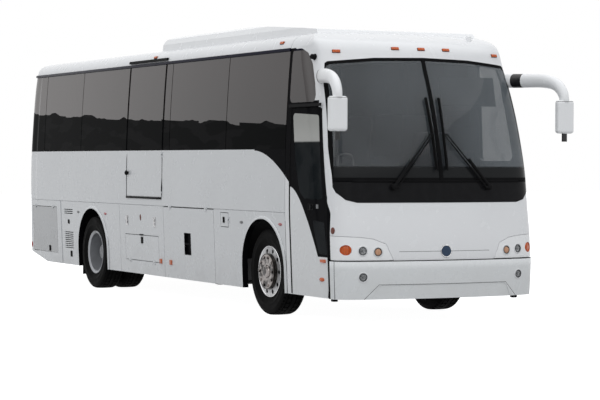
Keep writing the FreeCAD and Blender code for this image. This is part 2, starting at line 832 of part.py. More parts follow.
def nose_place(shares):
    """Points of the front module seen from the side, from shares of the nose's reach and the roof's height."""
    return [(size.nose_reach * x, size.roof_height * z) for x, z in shares]


def screen_outline():
    """The windshield's outline seen from the front."""
    return [(size.screen_half_width * y, size.screen_bottom + size.screen_height * z) for y, z in SCREEN_SHARES]


def wiper_outline():
    """The black panel under the windshield seen from the front."""
    return [(size.wiper_panel_half_width * y, size.wiper_panel_bottom + size.wiper_panel_height * z)
            for y, z in WIPER_PANEL_SHARES]


def lamp_outline(side):
    """One lamp panel seen from the front."""
    foot = size.bumper_top + size.panel_seam
    return [(side * size.lamp_panel_half_width * y, foot + size.lamp_panel_height * z)
            for y, z in LAMP_PANEL_SHARES]


def ahead_of_pillars():
    """The space before the slanted corner pillars."""
    half = size.belt_half_width + size.overrun
    face = outline_face([Vector(x, -half, z) for x, z in nose_place(PILLAR_SHARES)])
    return face.extrude(Vector(0, 2 * half, 0))


AHEAD = ahead_of_pillars()


def screen_region(outline, by=0):
    """The part of an outline seen from the front that lies ahead of the corner pillars."""
    return front_prism(inner_outline(outline, by)).common(AHEAD)


def cab_glass():
    """The quarter glass over the entry door and the driver's side window, as (outline, side)."""
    return [(nose_place(QUARTER_GLASS_SHARES), -1), (nose_place(DRIVER_GLASS_SHARES), 1)]


def bumper_zone(top):
    """The space of the front bumper up to a height."""
    return wide_block(size.bumper_rear_ahead, size.nose_reach + size.overrun, 0, top)


def front_mask():
    """Fixed shell of the front, with rebates and pockets for all that is set into it."""
    gap = size.seat_gap / 2
    region = wide_block(size.front_module_ahead + gap, size.nose_reach + size.overrun, size.sill_height,
                        size.roof_height + size.overrun)
    mask = skin(region, 0, size.wall).cut(SEAMS)
    backing = size.bumper_thickness - size.bumper_proud + size.seat_gap
    mask = mask.cut(bumper_zone(size.bumper_top + size.panel_seam).cut(form(backing)))
    mask = mask.cut(bumper_zone(size.bumper_top - size.bumper_lap))
    doorway = inner_outline(door_place(DOOR_SHARES), -size.leaf_gap)
    mask = mask.cut(side_prism(doorway, -1))
    mask = mask.cut(screen_region(screen_outline()).cut(form(size.screen_depth)))
    mask = mask.cut(screen_region(screen_outline(), size.screen_rim))
    mask = mask.cut(screen_region(wiper_outline()).cut(form(size.panel_thickness + size.seat_gap)))
    for side in (-1, 1):
        pocket = front_prism(lamp_outline(side)).common(bumper_zone(size.roof_height))
        mask = mask.cut(pocket.cut(form(size.lamp_panel_thickness + size.seat_gap)))
    for outline, side in cab_glass():
        rebate = side_prism(outline, side, size.cab_glass_corner)
        hole = side_prism(inner_outline(outline, size.cab_glass_rim), side, size.cab_glass_corner)
        mask = mask.cut(rebate.cut(form(size.glass_thickness))).cut(hole)
    feature("front_mask", mask.removeSplitter())


front_mask()


def windshield():
    """Two curved panes in a rubber frame with a middle strip."""
    far = size.nose_reach + size.overrun
    half = size.middle_seal_half
    bar = block(size.front_module_ahead, far, -half, half, 0, size.roof_height)
    depth = size.screen_depth - size.seat_gap
    outer = screen_region(screen_outline(), size.seat_gap)
    frame = skin(outer, 0, depth).cut(screen_region(screen_outline(), size.screen_seal))
    strip = skin(outer.common(bar), -size.middle_seal_proud, depth)
    feature("windshield_seal", frame.fuse(strip).removeSplitter())
    glass = skin(screen_region(screen_outline(), size.screen_seal + size.seat_gap), size.screen_sink,
                 size.screen_sink + size.glass_thickness)
    clear = half + size.seat_gap
    feature("windshield", glass.cut(block(size.front_module_ahead, far, -clear, clear, 0, size.roof_height)))


windshield()

# Lamps: how far out, how high and how large each one is
add_sizes(
    indicator_y=1156,
    indicator_height=823,
    indicator_radius=56,
    beam_y=983,
    beam_height=813,
    beam_radius=50,
    spot_y=813,
    spot_height=802,
    fog_height=530,
    lamp_proud=4,
    lamp_sink=30,
    bezel_width=7,
    bezel_proud=6,
)


def lamp_rod(y, z, radius):
    """A round bar along the vehicle through the front at a lamp's place."""
    start = size.bumper_rear_ahead
    return Part.makeCylinder(radius, size.nose_reach + size.overrun - start, Vector(start, y, z), Vector(1, 0, 0))


def panel_lamps(side):
    """Places of the three lamps of one lamp panel."""
    return [
        (side * size.indicator_y, size.indicator_height, size.indicator_radius),
        (side * size.beam_y, size.beam_height, size.beam_radius),
        (side * size.spot_y, size.spot_height, size.beam_radius),
    ]


def fog_lamp(side):
    """Place of the fog lamp in the bumper."""
    return side * size.beam_y, size.fog_height, size.beam_radius


def lamp_body(place, proud):
    """A lens with a raised bezel round it; proud is how far its carrier stands out of the form."""
    y, z, radius = place
    lens = skin(lamp_rod(y, z, radius), -proud - size.lamp_proud, size.lamp_sink - proud)
    ring = skin(lamp_rod(y, z, radius + size.bezel_width).cut(lamp_rod(y, z, radius - size.bezel_width)),
                -proud - size.bezel_proud, -proud - size.seat_gap)
    return lens.fuse(ring).removeSplitter()


def front_panels():
    """Wiper panel, lamp panels and bumper, with the lamps in them."""
    seam = size.panel_seam
    feature("wiper_panel", skin(screen_region(wiper_outline(), seam), 0, size.panel_thickness))
    panels = []
    lamps = []
    gap = size.seat_gap
    ahead = wide_block(size.bumper_rear_ahead + seam, size.nose_reach + size.overrun, 0, size.roof_height)
    for side in (-1, 1):
        region = front_prism(inner_outline(lamp_outline(side), seam)).common(ahead)
        panel = skin(region, 0, size.lamp_panel_thickness)
        for y, z, radius in panel_lamps(side):
            panel = panel.cut(skin(lamp_rod(y, z, radius + gap), -size.lamp_proud, size.lamp_sink + gap))
            lamps.append(lamp_body((y, z, radius), 0))
        panels.append(panel)
    feature("lamp_panels", Part.Compound(panels))
    proud = size.bumper_proud
    region = wide_block(size.bumper_rear_ahead, size.nose_reach + size.overrun, size.sill_height, size.bumper_top)
    bumper = skin(region, -proud, size.bumper_thickness - proud)
    half = size.bumper_step_half_width
    top = size.sill_height + size.bumper_step_height
    low = size.sill_height - size.bumper_step_height
    step = front_prism([(-half, low), (half, low), (half - size.bumper_step_height, top),
                        (size.bumper_step_height - half, top)], size.bumper_step_corner)
    bumper = bumper.cut(step.cut(form(size.bumper_step_depth - proud)))
    for side in (-1, 1):
        y, z, radius = fog_lamp(side)
        bumper = bumper.cut(skin(lamp_rod(y, z, radius + gap), -proud - size.lamp_proud, size.lamp_sink - proud + gap))
        lamps.append(lamp_body((y, z, radius), proud))
    feature("front_bumper", bumper.removeSplitter())
    feature("headlamps", Part.Compound(lamps))


front_panels()

# Entry door mechanism: a turning post with two arms that carry the leaf
add_sizes(
    post_ahead=1500,
    post_y=1130,
    post_radius=20,
    post_foot=420,
    post_length=1932,
    arm_reach=450,
    arm_half=20,
    arm_half_thickness=10,
    arm_eye_radius=22,
    arm_pin_radius=10,
    arm_pin_clearance=0.5,
    low_arm_height=760,
    high_arm_height=1260,
    bracket_drop=34,
    bracket_thickness=12,
    door_glass_corner=24,
    door_glass_rim=20,
)


def arm_heights():
    """Heights of the two arms of the door post."""
    return size.low_arm_height, size.high_arm_height


def entry_door():
    """The one-leaf entry door: a curved frame with a tall and a low window, and the arms' brackets."""
    leaf = skin(side_prism(door_place(DOOR_SHARES), -1), 0, size.leaf_wall)
    panes = []
    for shares in (DOOR_GLASS_SHARES, DOOR_LOW_GLASS_SHARES):
        outline = inner_outline(door_place(shares), -size.door_glass_rim)
        rebate = side_prism(outline, -1, size.door_glass_corner + size.door_glass_rim)
        leaf = leaf.cut(rebate.cut(form(size.glass_thickness)))
        leaf = leaf.cut(side_prism(door_place(shares), -1, size.door_glass_corner))
        pane = side_prism(inner_outline(outline, 1), -1, size.door_glass_corner + size.door_glass_rim)
        panes.append(skin(pane, 0, size.glass_thickness - size.seat_gap))
    x = size.post_ahead - size.arm_reach
    half = size.arm_half
    for z in arm_heights():
        top = z - size.bracket_drop + size.bracket_thickness
        foot = block(x - half, x + half, -size.belt_half_width - size.overrun, half - size.post_y,
                     z - size.bracket_drop, top)
        pin = Part.makeCylinder(size.arm_pin_radius, half + z - top, Vector(x, -size.post_y, top))
        leaf = leaf.multiFuse([foot.common(form(size.leaf_wall / 2)), pin])
    feature("entry_door", leaf.removeSplitter())
    feature("entry_door_glass", Part.Compound(panes))


entry_door()


def door_post():
    """Turning post inside the door's front edge with two arms to the leaf."""
    eyes = []
    holes = []
    pieces = [primitive(
        "Cylinder", "post_tube", ("sizes.post_ahead", "-sizes.post_y", "sizes.post_foot + sizes.seat_gap"),
        Radius="sizes.post_radius", Height="sizes.post_length")]
    for word in ("low", "high"):
        height = "sizes.%s_arm_height" % word
        x = "sizes.post_ahead - sizes.arm_reach"
        pieces.append(primitive(
            "Box", word + "_arm", (x, "-sizes.post_y - sizes.arm_half_thickness", height + " - sizes.arm_half"),
            Length="sizes.arm_reach", Width="2 * sizes.arm_half_thickness", Height="2 * sizes.arm_half"))
        eyes.append(primitive(
            "Cylinder", word + "_arm_eye", (x, "-sizes.post_y", height + " - sizes.arm_half"),
            Radius="sizes.arm_eye_radius", Height="2 * sizes.arm_half"))
        holes.append(primitive(
            "Cylinder", word + "_arm_hole", (x, "-sizes.post_y", height + " - 2 * sizes.arm_half"),
            Radius="sizes.arm_pin_radius + sizes.arm_pin_clearance", Height="4 * sizes.arm_half"))
    solid = fuse("door_post_solid", pieces + eyes)
    add_node("door_post", cut("door_post", solid, fuse("door_post_holes", holes)))


door_post()

# Rear module: cap, window, engine lid, bumper and lamps
add_sizes(
    rear_module_bottom=300,
    rear_window_half_width=900,
    rear_window_bottom=2150,
    rear_window_height=750,
    rear_window_taper=40,
    rear_window_corner=90,
    rear_window_rim=30,
    engine_lid_half_width=840,
    engine_lid_bottom=760,
    engine_lid_corner=40,
    rear_bumper_top=700,
    rear_bumper_lap=60,
    plate_pad_reach=8372,
    plate_pad_half_width=165,
    plate_pad_bottom=490,
    plate_pad_height=160,
    plate_hole_radius=3.3,
    plate_hole_spacing=178,
    plate_hole_rise=121,
    rear_lamp_inner_y=930,
    rear_lamp_width=180,
    rear_lamp_bottom=820,
    rear_lamp_height=740,
    rear_lamp_proud=4,
    rear_lamp_corner=30,
)


def rear_window_outline():
    """The rear window seen from behind."""
    half = size.rear_window_half_width
    low = size.rear_window_bottom
    high = low + size.rear_window_height
    return [(-half, low), (half, low), (half - size.rear_window_taper, high), (size.rear_window_taper - half, high)]


def engine_lid_outline():
    """The engine lid seen from behind, out to the edge of its opening."""
    half = size.engine_lid_half_width
    return [(-half, size.engine_lid_bottom), (half, size.engine_lid_bottom), (half, size.engine_lid_top),
            (-half, size.engine_lid_top)]


def rear_lamp_outline(side):
    """One rear lamp cluster seen from behind."""
    inner = side * size.rear_lamp_inner_y
    outer = side * (size.rear_lamp_inner_y + size.rear_lamp_width)
    low = size.rear_lamp_bottom
    high = low + size.rear_lamp_height
    return [(inner, low), (outer, low), (outer, high), (inner, high)]


def engine_hinges():
    """Hinges on the top edge of the engine lid."""
    movers, fixtures = [], []
    for side in (-1, 1):
        y = side * size.engine_hinge_y
        z = size.engine_lid_top
        line = Part.makeLine(Vector(-size.tail_reach - size.overrun, y, z), Vector(0, y, z))
        depth = size.engine_pin_back + line.common(form(0)).BoundBox.XMin
        moving, fixed = hinge(Vector(-size.engine_pin_back, y, z), Vector(0, 1, 0), Vector(-1, 0, 0),
                              Vector(0, 0, 1), depth)
        movers.extend(moving)
        fixtures.extend(fixed)
    return movers, fixtures


def rear_module():
    """Rear cap with its openings, engine lid, bumper and lamps."""
    gap = size.seat_gap / 2
    far = -size.tail_reach - size.overrun
    near = -size.rear_module_back - gap
    movers, fixtures = engine_hinges()
    cap = skin(wide_block(far, near, size.rear_module_bottom, size.roof_height + size.overrun), 0, size.wall)
    cap = cap.cut([SEAMS, BELLY])
    window = rear_prism(rear_window_outline(), size.rear_window_corner)
    hole = rear_prism(inner_outline(rear_window_outline(), size.rear_window_rim), size.rear_window_corner)
    cap = cap.cut(window.cut(form(size.glass_thickness))).cut(hole)
    opening = rear_prism(inner_outline(engine_lid_outline(), -size.leaf_gap), size.engine_lid_corner)
    cap = cap.cut(opening)
    backing = size.bumper_thickness - size.bumper_proud + size.seat_gap
    zone = wide_block(far, near, 0, size.rear_bumper_top)
    cap = cap.cut(zone.cut(form(backing)))
    cap = cap.cut(wide_block(far, near, 0, size.rear_bumper_top - size.rear_bumper_lap))
    clusters = []
    for side in (-1, 1):
        pocket = rear_prism(rear_lamp_outline(side), size.rear_lamp_corner)
        cap = cap.cut(pocket.cut(form(size.lamp_panel_thickness + size.seat_gap)))
        lens = rear_prism(inner_outline(rear_lamp_outline(side), size.seat_gap), size.rear_lamp_corner)
        clusters.append(skin(lens, -size.rear_lamp_proud, size.lamp_panel_thickness))
    feature("rear_cap", cap.multiFuse(fixtures).removeSplitter())
    feature("rear_lamps", Part.Compound(clusters))
    lid = rear_prism(inner_outline(engine_lid_outline(), size.leaf_gap), size.engine_lid_corner)
    feature("engine_lid", skin(lid, 0, size.leaf_wall).multiFuse(movers).removeSplitter())
    zone = wide_block(far, near, size.rear_module_bottom, size.rear_bumper_top - size.panel_seam)
    bumper = skin(zone, -size.bumper_proud, size.bumper_thickness - size.bumper_proud).cut(BELLY)
    half = size.plate_pad_half_width
    low = size.plate_pad_bottom
    pad = block(-size.plate_pad_reach, size.bumper_thickness - size.plate_pad_reach, -half, half, low,
                low + size.plate_pad_height)
    bumper = bumper.fuse(pad)
    middle = low + size.plate_pad_height / 2
    for y in (-1, 1):
        for z in (-1, 1):
            place = Vector(far, y * size.plate_hole_spacing / 2, middle + z * size.plate_hole_rise / 2)
            bumper = bumper.cut(Part.makeCylinder(size.plate_hole_radius, 2 * size.overrun, place, Vector(1, 0, 0)))
    feature("rear_bumper", bumper.removeSplitter())


rear_module()


def body_windows():
    """Flush bonded panes in the rebates of the side walls, the front mask and the rear cap."""
    panes = []
    depth = size.glass_thickness - size.seat_gap
    for side, spans in ((-1, right_spans()), (1, left_spans())):
        for start, end in spans:
            pane = side_block(start, end, size.glass_bottom + size.seat_gap,
                              size.cantrail_height - size.glass_head_gap, side)
            panes.append(skin(pane, 0, depth))
    for outline, side in cab_glass():
        pane = side_prism(inner_outline(outline, size.seat_gap), side, size.cab_glass_corner)
        panes.append(skin(pane, 0, depth))
    pane = rear_prism(inner_outline(rear_window_outline(), size.seat_gap), size.rear_window_corner)
    panes.append(skin(pane, 0, depth))
    feature("body_windows", Part.Compound(panes))


body_windows()


def roof():
    """The roof skin between the front and rear modules."""
    gap = size.seat_gap / 2
    region = wide_block(-size.rear_module_back + gap, size.front_module_ahead - gap, size.cantrail_height + gap,
                        size.roof_height + size.overrun)
    feature("roof", skin(region, 0, size.wall).cut(SEAMS))


roof()

# Small fixed pieces that follow the skin
add_sizes(
    marker_half_length=45,
    marker_height=30,
    marker_proud=16,
    side_marker_height=3112,
    rear_marker_back=8178,
    middle_marker_back=3460,
    front_marker_ahead=317,
    brow_marker_height=3018,
    brow_marker_drop=42,
    brow_inner_y=325,
    brow_outer_y=1015,
    reflector_half=26,
    reflector_height=485,
    reflector_rear_back=3100,
    reflector_front_back=2770,
    reflector_proud=8,
    rail_height=3072,
    rail_section=34,
    rail_proud=22,
    rail_overhang=50,
    door_rail_height=2384,
)


def marker_lamps():
    """Clearance lamps along the roof edge and across the brow."""
    lamps = []
    half = size.marker_half_length
    for side in (-1, 1):
        for x in (-size.rear_marker_back, -size.middle_marker_back, size.front_marker_ahead):
            region = side_block(x - half, x + half, size.side_marker_height,
                                size.side_marker_height + size.marker_height, side)
            lamps.append(skin(region, -size.marker_proud, -size.seat_gap))
    brow = size.brow_marker_height
    low = brow - size.brow_marker_drop
    inner = size.brow_inner_y
    outer = size.brow_outer_y
    for y, z in ((-outer, low), (-inner, brow), (0, brow), (inner, brow), (outer, low)):
        region = block(size.front_module_ahead, size.nose_reach, y - half, y + half, z, z + size.marker_height)
        lamps.append(skin(region, -size.marker_proud, -size.seat_gap))
    feature("marker_lamps", Part.Compound(lamps))


def drip_rails():
    """Rails over the lift door and over the entry door."""
    rear, front, bottom, top = LIFT_DOOR
    over = size.rail_overhang
    door_rear = size.door_rear_ahead
    door_front = door_rear + size.door_length * DOOR_SHARES[2][0]
    regions = [
        side_block(rear - over, front + over, size.rail_height, size.rail_height + size.rail_section, -1),
        side_block(door_rear - over, door_front + over, size.door_rail_height,
                   size.door_rail_height + size.rail_section, -1),
    ]
    rails = [skin(region, -size.rail_proud, -size.seat_gap) for region in regions]
    rails = [max(rail.Solids, key=lambda solid: solid.Volume) for rail in rails]
    feature("drip_rails", Part.Compound(rails))


marker_lamps()
drip_rails()

# Long low cover over the air-conditioning on the roof
add_sizes(
    fairing_rear_back=3600,
    fairing_length=4550,
    fairing_half_width=1030,
    fairing_top=3402,
    fairing_foot=3150,
    fairing_seam_back=300,
    vent_ahead=1150,
    vent_y=800,
    vent_radius=32,
    vent_top=3225,
    vent_length=110,
)
FAIRING_SIDE_SHARES = [
    (0, 0), (0.0033, 0.714), (0.0154, 0.885), (0.044, 0.96), (0.11, 1), (0.44, 1), (0.615, 0.945), (0.747, 0.79),
    (0.899, 0.585), (0.985, 0.45), (1, 0),
]
FAIRING_ACROSS_SHARES = [
    (-1, 0), (-0.985, 0.6), (-0.95, 0.86), (-0.89, 0.97), (-0.78, 1), (0.78, 1), (0.89, 0.97), (0.95, 0.86),
    (0.985, 0.6), (1, 0),
]


def spline_face(points):
    """A flat face under a smooth curve through points, closed by a straight foot."""
    curve = Part.BSplineCurve()
    curve.interpolate(points)
    return Part.Face(Part.Wire([curve.toShape(), Part.LineSegment(points[-1], points[0]).toShape()]))


def roof_fairing():
    """The cover, seated on the roof, with one seam across it, and the vent of the front module."""
    rise = size.fairing_top - size.fairing_foot
    half = size.fairing_half_width
    side = [Vector(size.fairing_length * x - size.fairing_rear_back, -half, size.fairing_foot + rise * z)
            for x, z in FAIRING_SIDE_SHARES]
    across = [Vector(-size.fairing_rear_back, half * y, size.fairing_foot + rise * z)
              for y, z in FAIRING_ACROSS_SHARES]
    cover = outline_face(side).extrude(Vector(0, 2 * half, 0))
    cover = cover.common(outline_face(across).extrude(Vector(size.fairing_length, 0, 0)))
    cover = cover.cut(form(-size.seat_gap))
    groove = wide_block(-size.fairing_seam_back, size.seam_width - size.fairing_seam_back, size.fairing_foot,
                        size.fairing_top + size.overrun)
    shrunk = cover.copy()
    shrunk.translate(Vector(0, 0, -size.seam_width))
    cover = cover.cut(groove.cut(shrunk))
    foot = Vector(size.vent_ahead, size.vent_y, size.vent_top - size.vent_length)
    vent = Part.makeCylinder(size.vent_radius, size.vent_length, foot)
    vent = vent.makeFillet(size.vent_radius / 2, [vent.Edges[0]]).cut(form(-size.seat_gap))
    feature("roof_fairing", Part.Compound([cover, vent]))


roof_fairing()

# Mirrors on long forward arms, as stations of a swelling oval arm
add_sizes(
    mirror_root_ahead=1300,
    mirror_root_y=1150,
    mirror_reach=881,
    mirror_spread=278,
    mirror_arm_height=2708,
    mirror_drop=268,
    mirror_arm_half_height=80,
    mirror_arm_half_width=50,
    mirror_head_half_width=108,
    mirror_head_half_depth=46,
    mirror_head_bottom=2098,
    mirror_head_height=372,
    mirror_head_corner=34,
    mirror_stub_radius=30,
    mirror_stub_length=90,
)
# Stations along the arm: shares of the reach, spread and drop, then of the section's two half axes
ARM_SHARES = [
    (0, 0, 0, 1, 0.9), (0.16, 0.36, 0, 1, 1), (0.34, 0.6, 0.01, 0.98, 1), (0.54, 0.76, 0.03, 0.95, 1.02),
    (0.72, 0.86, 0.1, 0.92, 1.05), (0.86, 0.93, 0.25, 0.88, 1.1), (0.95, 0.975, 0.5, 0.82, 1.1),
    (0.99, 0.995, 0.76, 0.74, 1.05), (1, 1, 1, 0.66, 1),
]


def arm_section(place, direction, tall, wide):
    """An oval wire square to the arm's direction, tall in its upright plane."""
    sideways = direction.cross(Vector(0, 0, 1))
    if sideways.Length < 0.3:
        sideways = Vector(0, 1, 0)
    sideways.normalize()
    upright = sideways.cross(direction).normalize()
    if tall >= wide:
        oval = Part.Ellipse(place + upright * tall, place + sideways * wide, place)
    else:
        oval = Part.Ellipse(place + sideways * wide, place + upright * tall, place)
    return Part.Wire(oval.toShape())


def mirrors():
    """Forward-reaching arms with hanging heads, the same on both sides."""
    places = [Vector(size.mirror_root_ahead + size.mirror_reach * a, size.mirror_root_y + size.mirror_spread * b,
                     size.mirror_arm_height - size.mirror_drop * c) for a, b, c, tall, wide in ARM_SHARES]
    sections = []
    for index, place in enumerate(places):
        before = places[max(index - 1, 0)]
        after = places[min(index + 1, len(places) - 1)]
        direction = (after - before).normalize()
        tall, wide = ARM_SHARES[index][3:]
        sections.append(arm_section(place, direction, tall * size.mirror_arm_half_height,
                                    wide * size.mirror_arm_half_width))
    arm = Part.makeLoft(sections, True, False).cut(form(-size.seat_gap))
    arm = max(arm.Solids, key=lambda solid: solid.BoundBox.XMax)
    tip = places[-1]
    head = block(tip.x - size.mirror_head_half_depth, tip.x + size.mirror_head_half_depth,
                 tip.y - size.mirror_head_half_width, tip.y + size.mirror_head_half_width,
                 size.mirror_head_bottom, size.mirror_head_bottom + size.mirror_head_height)
    head = head.makeFillet(size.mirror_head_corner, head.Edges)
    stub = Part.makeCylinder(size.mirror_stub_radius, size.mirror_stub_length + size.mirror_head_corner,
                             Vector(tip.x, tip.y, size.mirror_head_bottom - size.mirror_stub_length))
    left = arm.multiFuse([head, stub]).removeSplitter()
    feature("mirrors", Part.Compound([left, left.mirror(Vector(), Vector(0, 1, 0))]))


mirrors()

# Wipers: twin arms from a spindle to a blade that parks beside the middle strip
add_sizes(
    wiper_spindle_y=600,
    wiper_spindle_height=1500,
    wiper_twin_gap=40,
    wiper_elbow_y=110,
    wiper_elbow_height=2080,
    blade_tip_y=82,
    blade_tip_height=2480,
    blade_heel_y=64,
    blade_heel_height=1690,
    wiper_stand=46,
    wiper_arm_radius=7,
    blade_radius=9,
    spindle_cap_radius=26,
)


def front_reach(y, z):
    """How far forward the body's form reaches at a height and a place across."""
    far = size.nose_reach + size.overrun
    return Part.makeLine(Vector(0, y, z), Vector(far, y, z)).common(form(0)).BoundBox.XMax


def rod(start, end, radius):
    """A round bar between two points with a round end at the second."""
    bar = Part.makeCylinder(radius, (end - start).Length, start, end - start)
    return bar.fuse(Part.makeSphere(radius, end))


def wipers():
    """Two wipers, each with a spindle cap, two parallel arms and a blade."""
    pieces = []
    for side in (-1, 1):
        def stood_off(y, z):
            """A point before the screen at a wiper's height off the skin."""
            return Vector(front_reach(side * y, z) + size.wiper_stand, side * y, z)
        foot = Vector(front_reach(side * size.wiper_spindle_y, size.wiper_spindle_height) + size.seat_gap,
                      side * size.wiper_spindle_y, size.wiper_spindle_height)
        parts = [Part.makeCylinder(size.spindle_cap_radius, size.wiper_stand, foot, Vector(1, 0, 0))]
        twin = size.wiper_twin_gap
        for shift in (0, twin):
            low = stood_off(size.wiper_spindle_y - shift, size.wiper_spindle_height)
            high = stood_off(size.wiper_elbow_y - shift, size.wiper_elbow_height)
            parts.append(rod(low, high, size.wiper_arm_radius))
        ends = [stood_off(size.wiper_spindle_y, size.wiper_spindle_height),
                stood_off(size.wiper_spindle_y - twin, size.wiper_spindle_height)]
        parts.append(rod(ends[0], ends[1], size.wiper_arm_radius * 2))
        tip = stood_off(size.blade_tip_y, size.blade_tip_height)
        elbow = stood_off(size.wiper_elbow_y - twin, size.wiper_elbow_height)
        heel = stood_off(size.blade_heel_y, size.blade_heel_height)
        parts.append(rod(elbow, tip, size.blade_radius))
        parts.append(rod(elbow, heel, size.blade_radius))
        parts.append(rod(elbow, stood_off(size.wiper_elbow_y, size.wiper_elbow_height), size.blade_radius))
        pieces.append(parts[0].multiFuse(parts[1:]).cut(form(-size.seat_gap)))
    feature("wipers", Part.Compound(pieces))


wipers()

# Wheels and tyres
add_sizes(
    tyre_radius=505,
    tyre_half_width=147.5,
    tyre_shoulder_radius=470,
    tyre_tread_half_width=120,
    tyre_bead_radius=290,
    tyre_bead_half_width=105,
    flange_radius=298,
    flange_thickness=11,
    rim_half_width=119,
    rim_wall=28,
    disc_thickness=15,
    disc_out=112,
    disc_radius=200,
    disc_edge_out=62,
    disc_edge_radius=252,
    hub_cap_radius=78,
    hub_cap_out=150,
    hub_radius=110,
    drum_radius=205,
    drum_half_width=95,
    drum_in=30,
    hub_bore_clearance=0.5,
    hand_hole_radius=27,
    hand_hole_circle=226,
    hand_hole_count=10,
    front_wheel_y=1055,
    rear_outer_wheel_y=1098,
    rear_inner_wheel_y=763,
    twin_hub_out=185,
    twin_hub_radius=95,
    twin_disc_out=45,
    twin_disc_radius=225,
    twin_drum_in=215,
    kingpin_y=885,
    kingpin_radius=24,
    kingpin_clearance=0.5,
    spindle_radius=38,
    spindle_out=95,
    rear_tube_radius=75,
    rear_tube_half_length=1034,
)


def tyre_corners(middle):
    """Tyre outline about one wheel plane: bead seat, sidewalls, shoulders and tread."""
    def at(radius, sign, across):
        return "sizes." + radius, "%s %s sizes.%s" % (middle, sign, across)
    return [
        at("tyre_bead_radius", "-", "tyre_bead_half_width"), at("tyre_shoulder_radius", "-", "tyre_half_width"),
        at("tyre_radius", "-", "tyre_tread_half_width"), at("tyre_radius", "+", "tyre_tread_half_width"),
        at("tyre_shoulder_radius", "+", "tyre_half_width"), at("tyre_bead_radius", "+", "tyre_bead_half_width"),
    ]


def signed(rows, side):
    """Outline rows of (radius, outward place) for one side of the vehicle."""
    return [(radius, "(%s) * (%d)" % (across, side)) for radius, across in rows]


def rim_rows():
    """The rim's outside between the disc's outer and inner ends, from its outboard to its inboard flange."""
    seat = "sizes.tyre_bead_radius - sizes.seat_gap"
    inner = "sizes.rim_half_width - sizes.flange_thickness"
    return [
        ("sizes.flange_radius", "sizes.rim_half_width"), ("sizes.flange_radius", inner), (seat, inner),
        (seat, "-(%s)" % inner), ("sizes.flange_radius", "-(%s)" % inner),
        ("sizes.flange_radius", "-sizes.rim_half_width"),
    ]


def front_wheel_rows():
    """Convex disc wheel with its hub and drum, outward positive."""
    bore = "sizes.spindle_radius + sizes.hub_bore_clearance"
    well = "sizes.tyre_bead_radius - sizes.rim_wall"
    face_in = "sizes.disc_out - sizes.disc_thickness"
    return [
        ("0", "sizes.hub_cap_out"), ("sizes.hub_cap_radius * 0.8", "sizes.hub_cap_out"),
        ("sizes.hub_cap_radius", "sizes.disc_out"), ("sizes.disc_radius", "sizes.disc_out"),
        ("sizes.disc_edge_radius", "sizes.disc_edge_out"),
        (well + " + 6", "sizes.rim_half_width - sizes.rim_wall / 2"),
        ("sizes.flange_radius - sizes.flange_thickness", "sizes.rim_half_width"),
    ] + rim_rows() + [
        (well, "-sizes.rim_half_width + sizes.rim_wall / 2"), (well, "sizes.disc_edge_out - sizes.disc_thickness * 2"),
        ("sizes.disc_edge_radius - sizes.disc_thickness", "sizes.disc_edge_out - sizes.disc_thickness"),
        ("sizes.disc_radius - sizes.disc_thickness / 2", face_in), ("sizes.hub_radius", face_in),
        ("sizes.hub_radius", "-sizes.drum_in"), ("sizes.drum_radius", "-sizes.drum_in"),
        ("sizes.drum_radius", "-sizes.drum_half_width"), (bore, "-sizes.drum_half_width"),
        (bore, "sizes.spindle_out"), ("0", "sizes.spindle_out"),
    ]


def rear_wheel_rows():
    """Twin deep-dish wheels with their hub and drum, outward positive."""
    offset = "(sizes.rear_outer_wheel_y - sizes.rear_inner_wheel_y) / 2"
    well = "sizes.tyre_bead_radius - sizes.rim_wall"
    seat = "sizes.tyre_bead_radius - sizes.seat_gap"
    half = "sizes.rim_half_width"
    lip = "sizes.flange_thickness"
    bore = "sizes.rear_tube_radius + sizes.hub_bore_clearance"
    disc = "sizes.twin_disc_out"
    return [
        ("0", "sizes.twin_hub_out"), ("sizes.twin_hub_radius", "sizes.twin_hub_out"),
        ("sizes.hub_radius", "sizes.twin_hub_out * 0.8"), ("sizes.hub_radius", disc),
        ("sizes.twin_disc_radius", disc), (well, disc + " + sizes.rim_wall"),
        (well, offset + " + sizes.rim_half_width - sizes.rim_wall / 2"),
        ("sizes.flange_radius - " + lip, "%s + %s" % (offset, half)),
        ("sizes.flange_radius", "%s + %s" % (offset, half)),
        ("sizes.flange_radius", "%s + %s - %s" % (offset, half, lip)), (seat, "%s + %s - %s" % (offset, half, lip)),
        (seat, "%s - %s + %s" % (offset, half, lip)), ("sizes.flange_radius", "%s - %s + %s" % (offset, half, lip)),
        ("sizes.flange_radius", "%s - %s" % (offset, half)),
        ("sizes.flange_radius", "-(%s - %s)" % (offset, half)),
        ("sizes.flange_radius", "-(%s - %s + %s)" % (offset, half, lip)),
        (seat, "-(%s - %s + %s)" % (offset, half, lip)), (seat, "-(%s + %s - %s)" % (offset, half, lip)),
        ("sizes.flange_radius", "-(%s + %s - %s)" % (offset, half, lip)),
        ("sizes.flange_radius", "-(%s + %s)" % (offset, half)),
        (well, "-(%s + %s - sizes.rim_wall / 2)" % (offset, half)), (well, "-(%s)" % disc),
        ("sizes.twin_disc_radius", disc + " - sizes.disc_thickness"),
        ("sizes.hub_radius", disc + " - sizes.disc_thickness"), ("sizes.hub_radius", "-sizes.drum_in"),
        ("sizes.drum_radius", "-sizes.drum_in"), ("sizes.drum_radius", "-sizes.twin_drum_in"),
        (bore, "-sizes.twin_drum_in"), (bore, "sizes.hub_radius"), ("0", "sizes.hub_radius"),
    ]


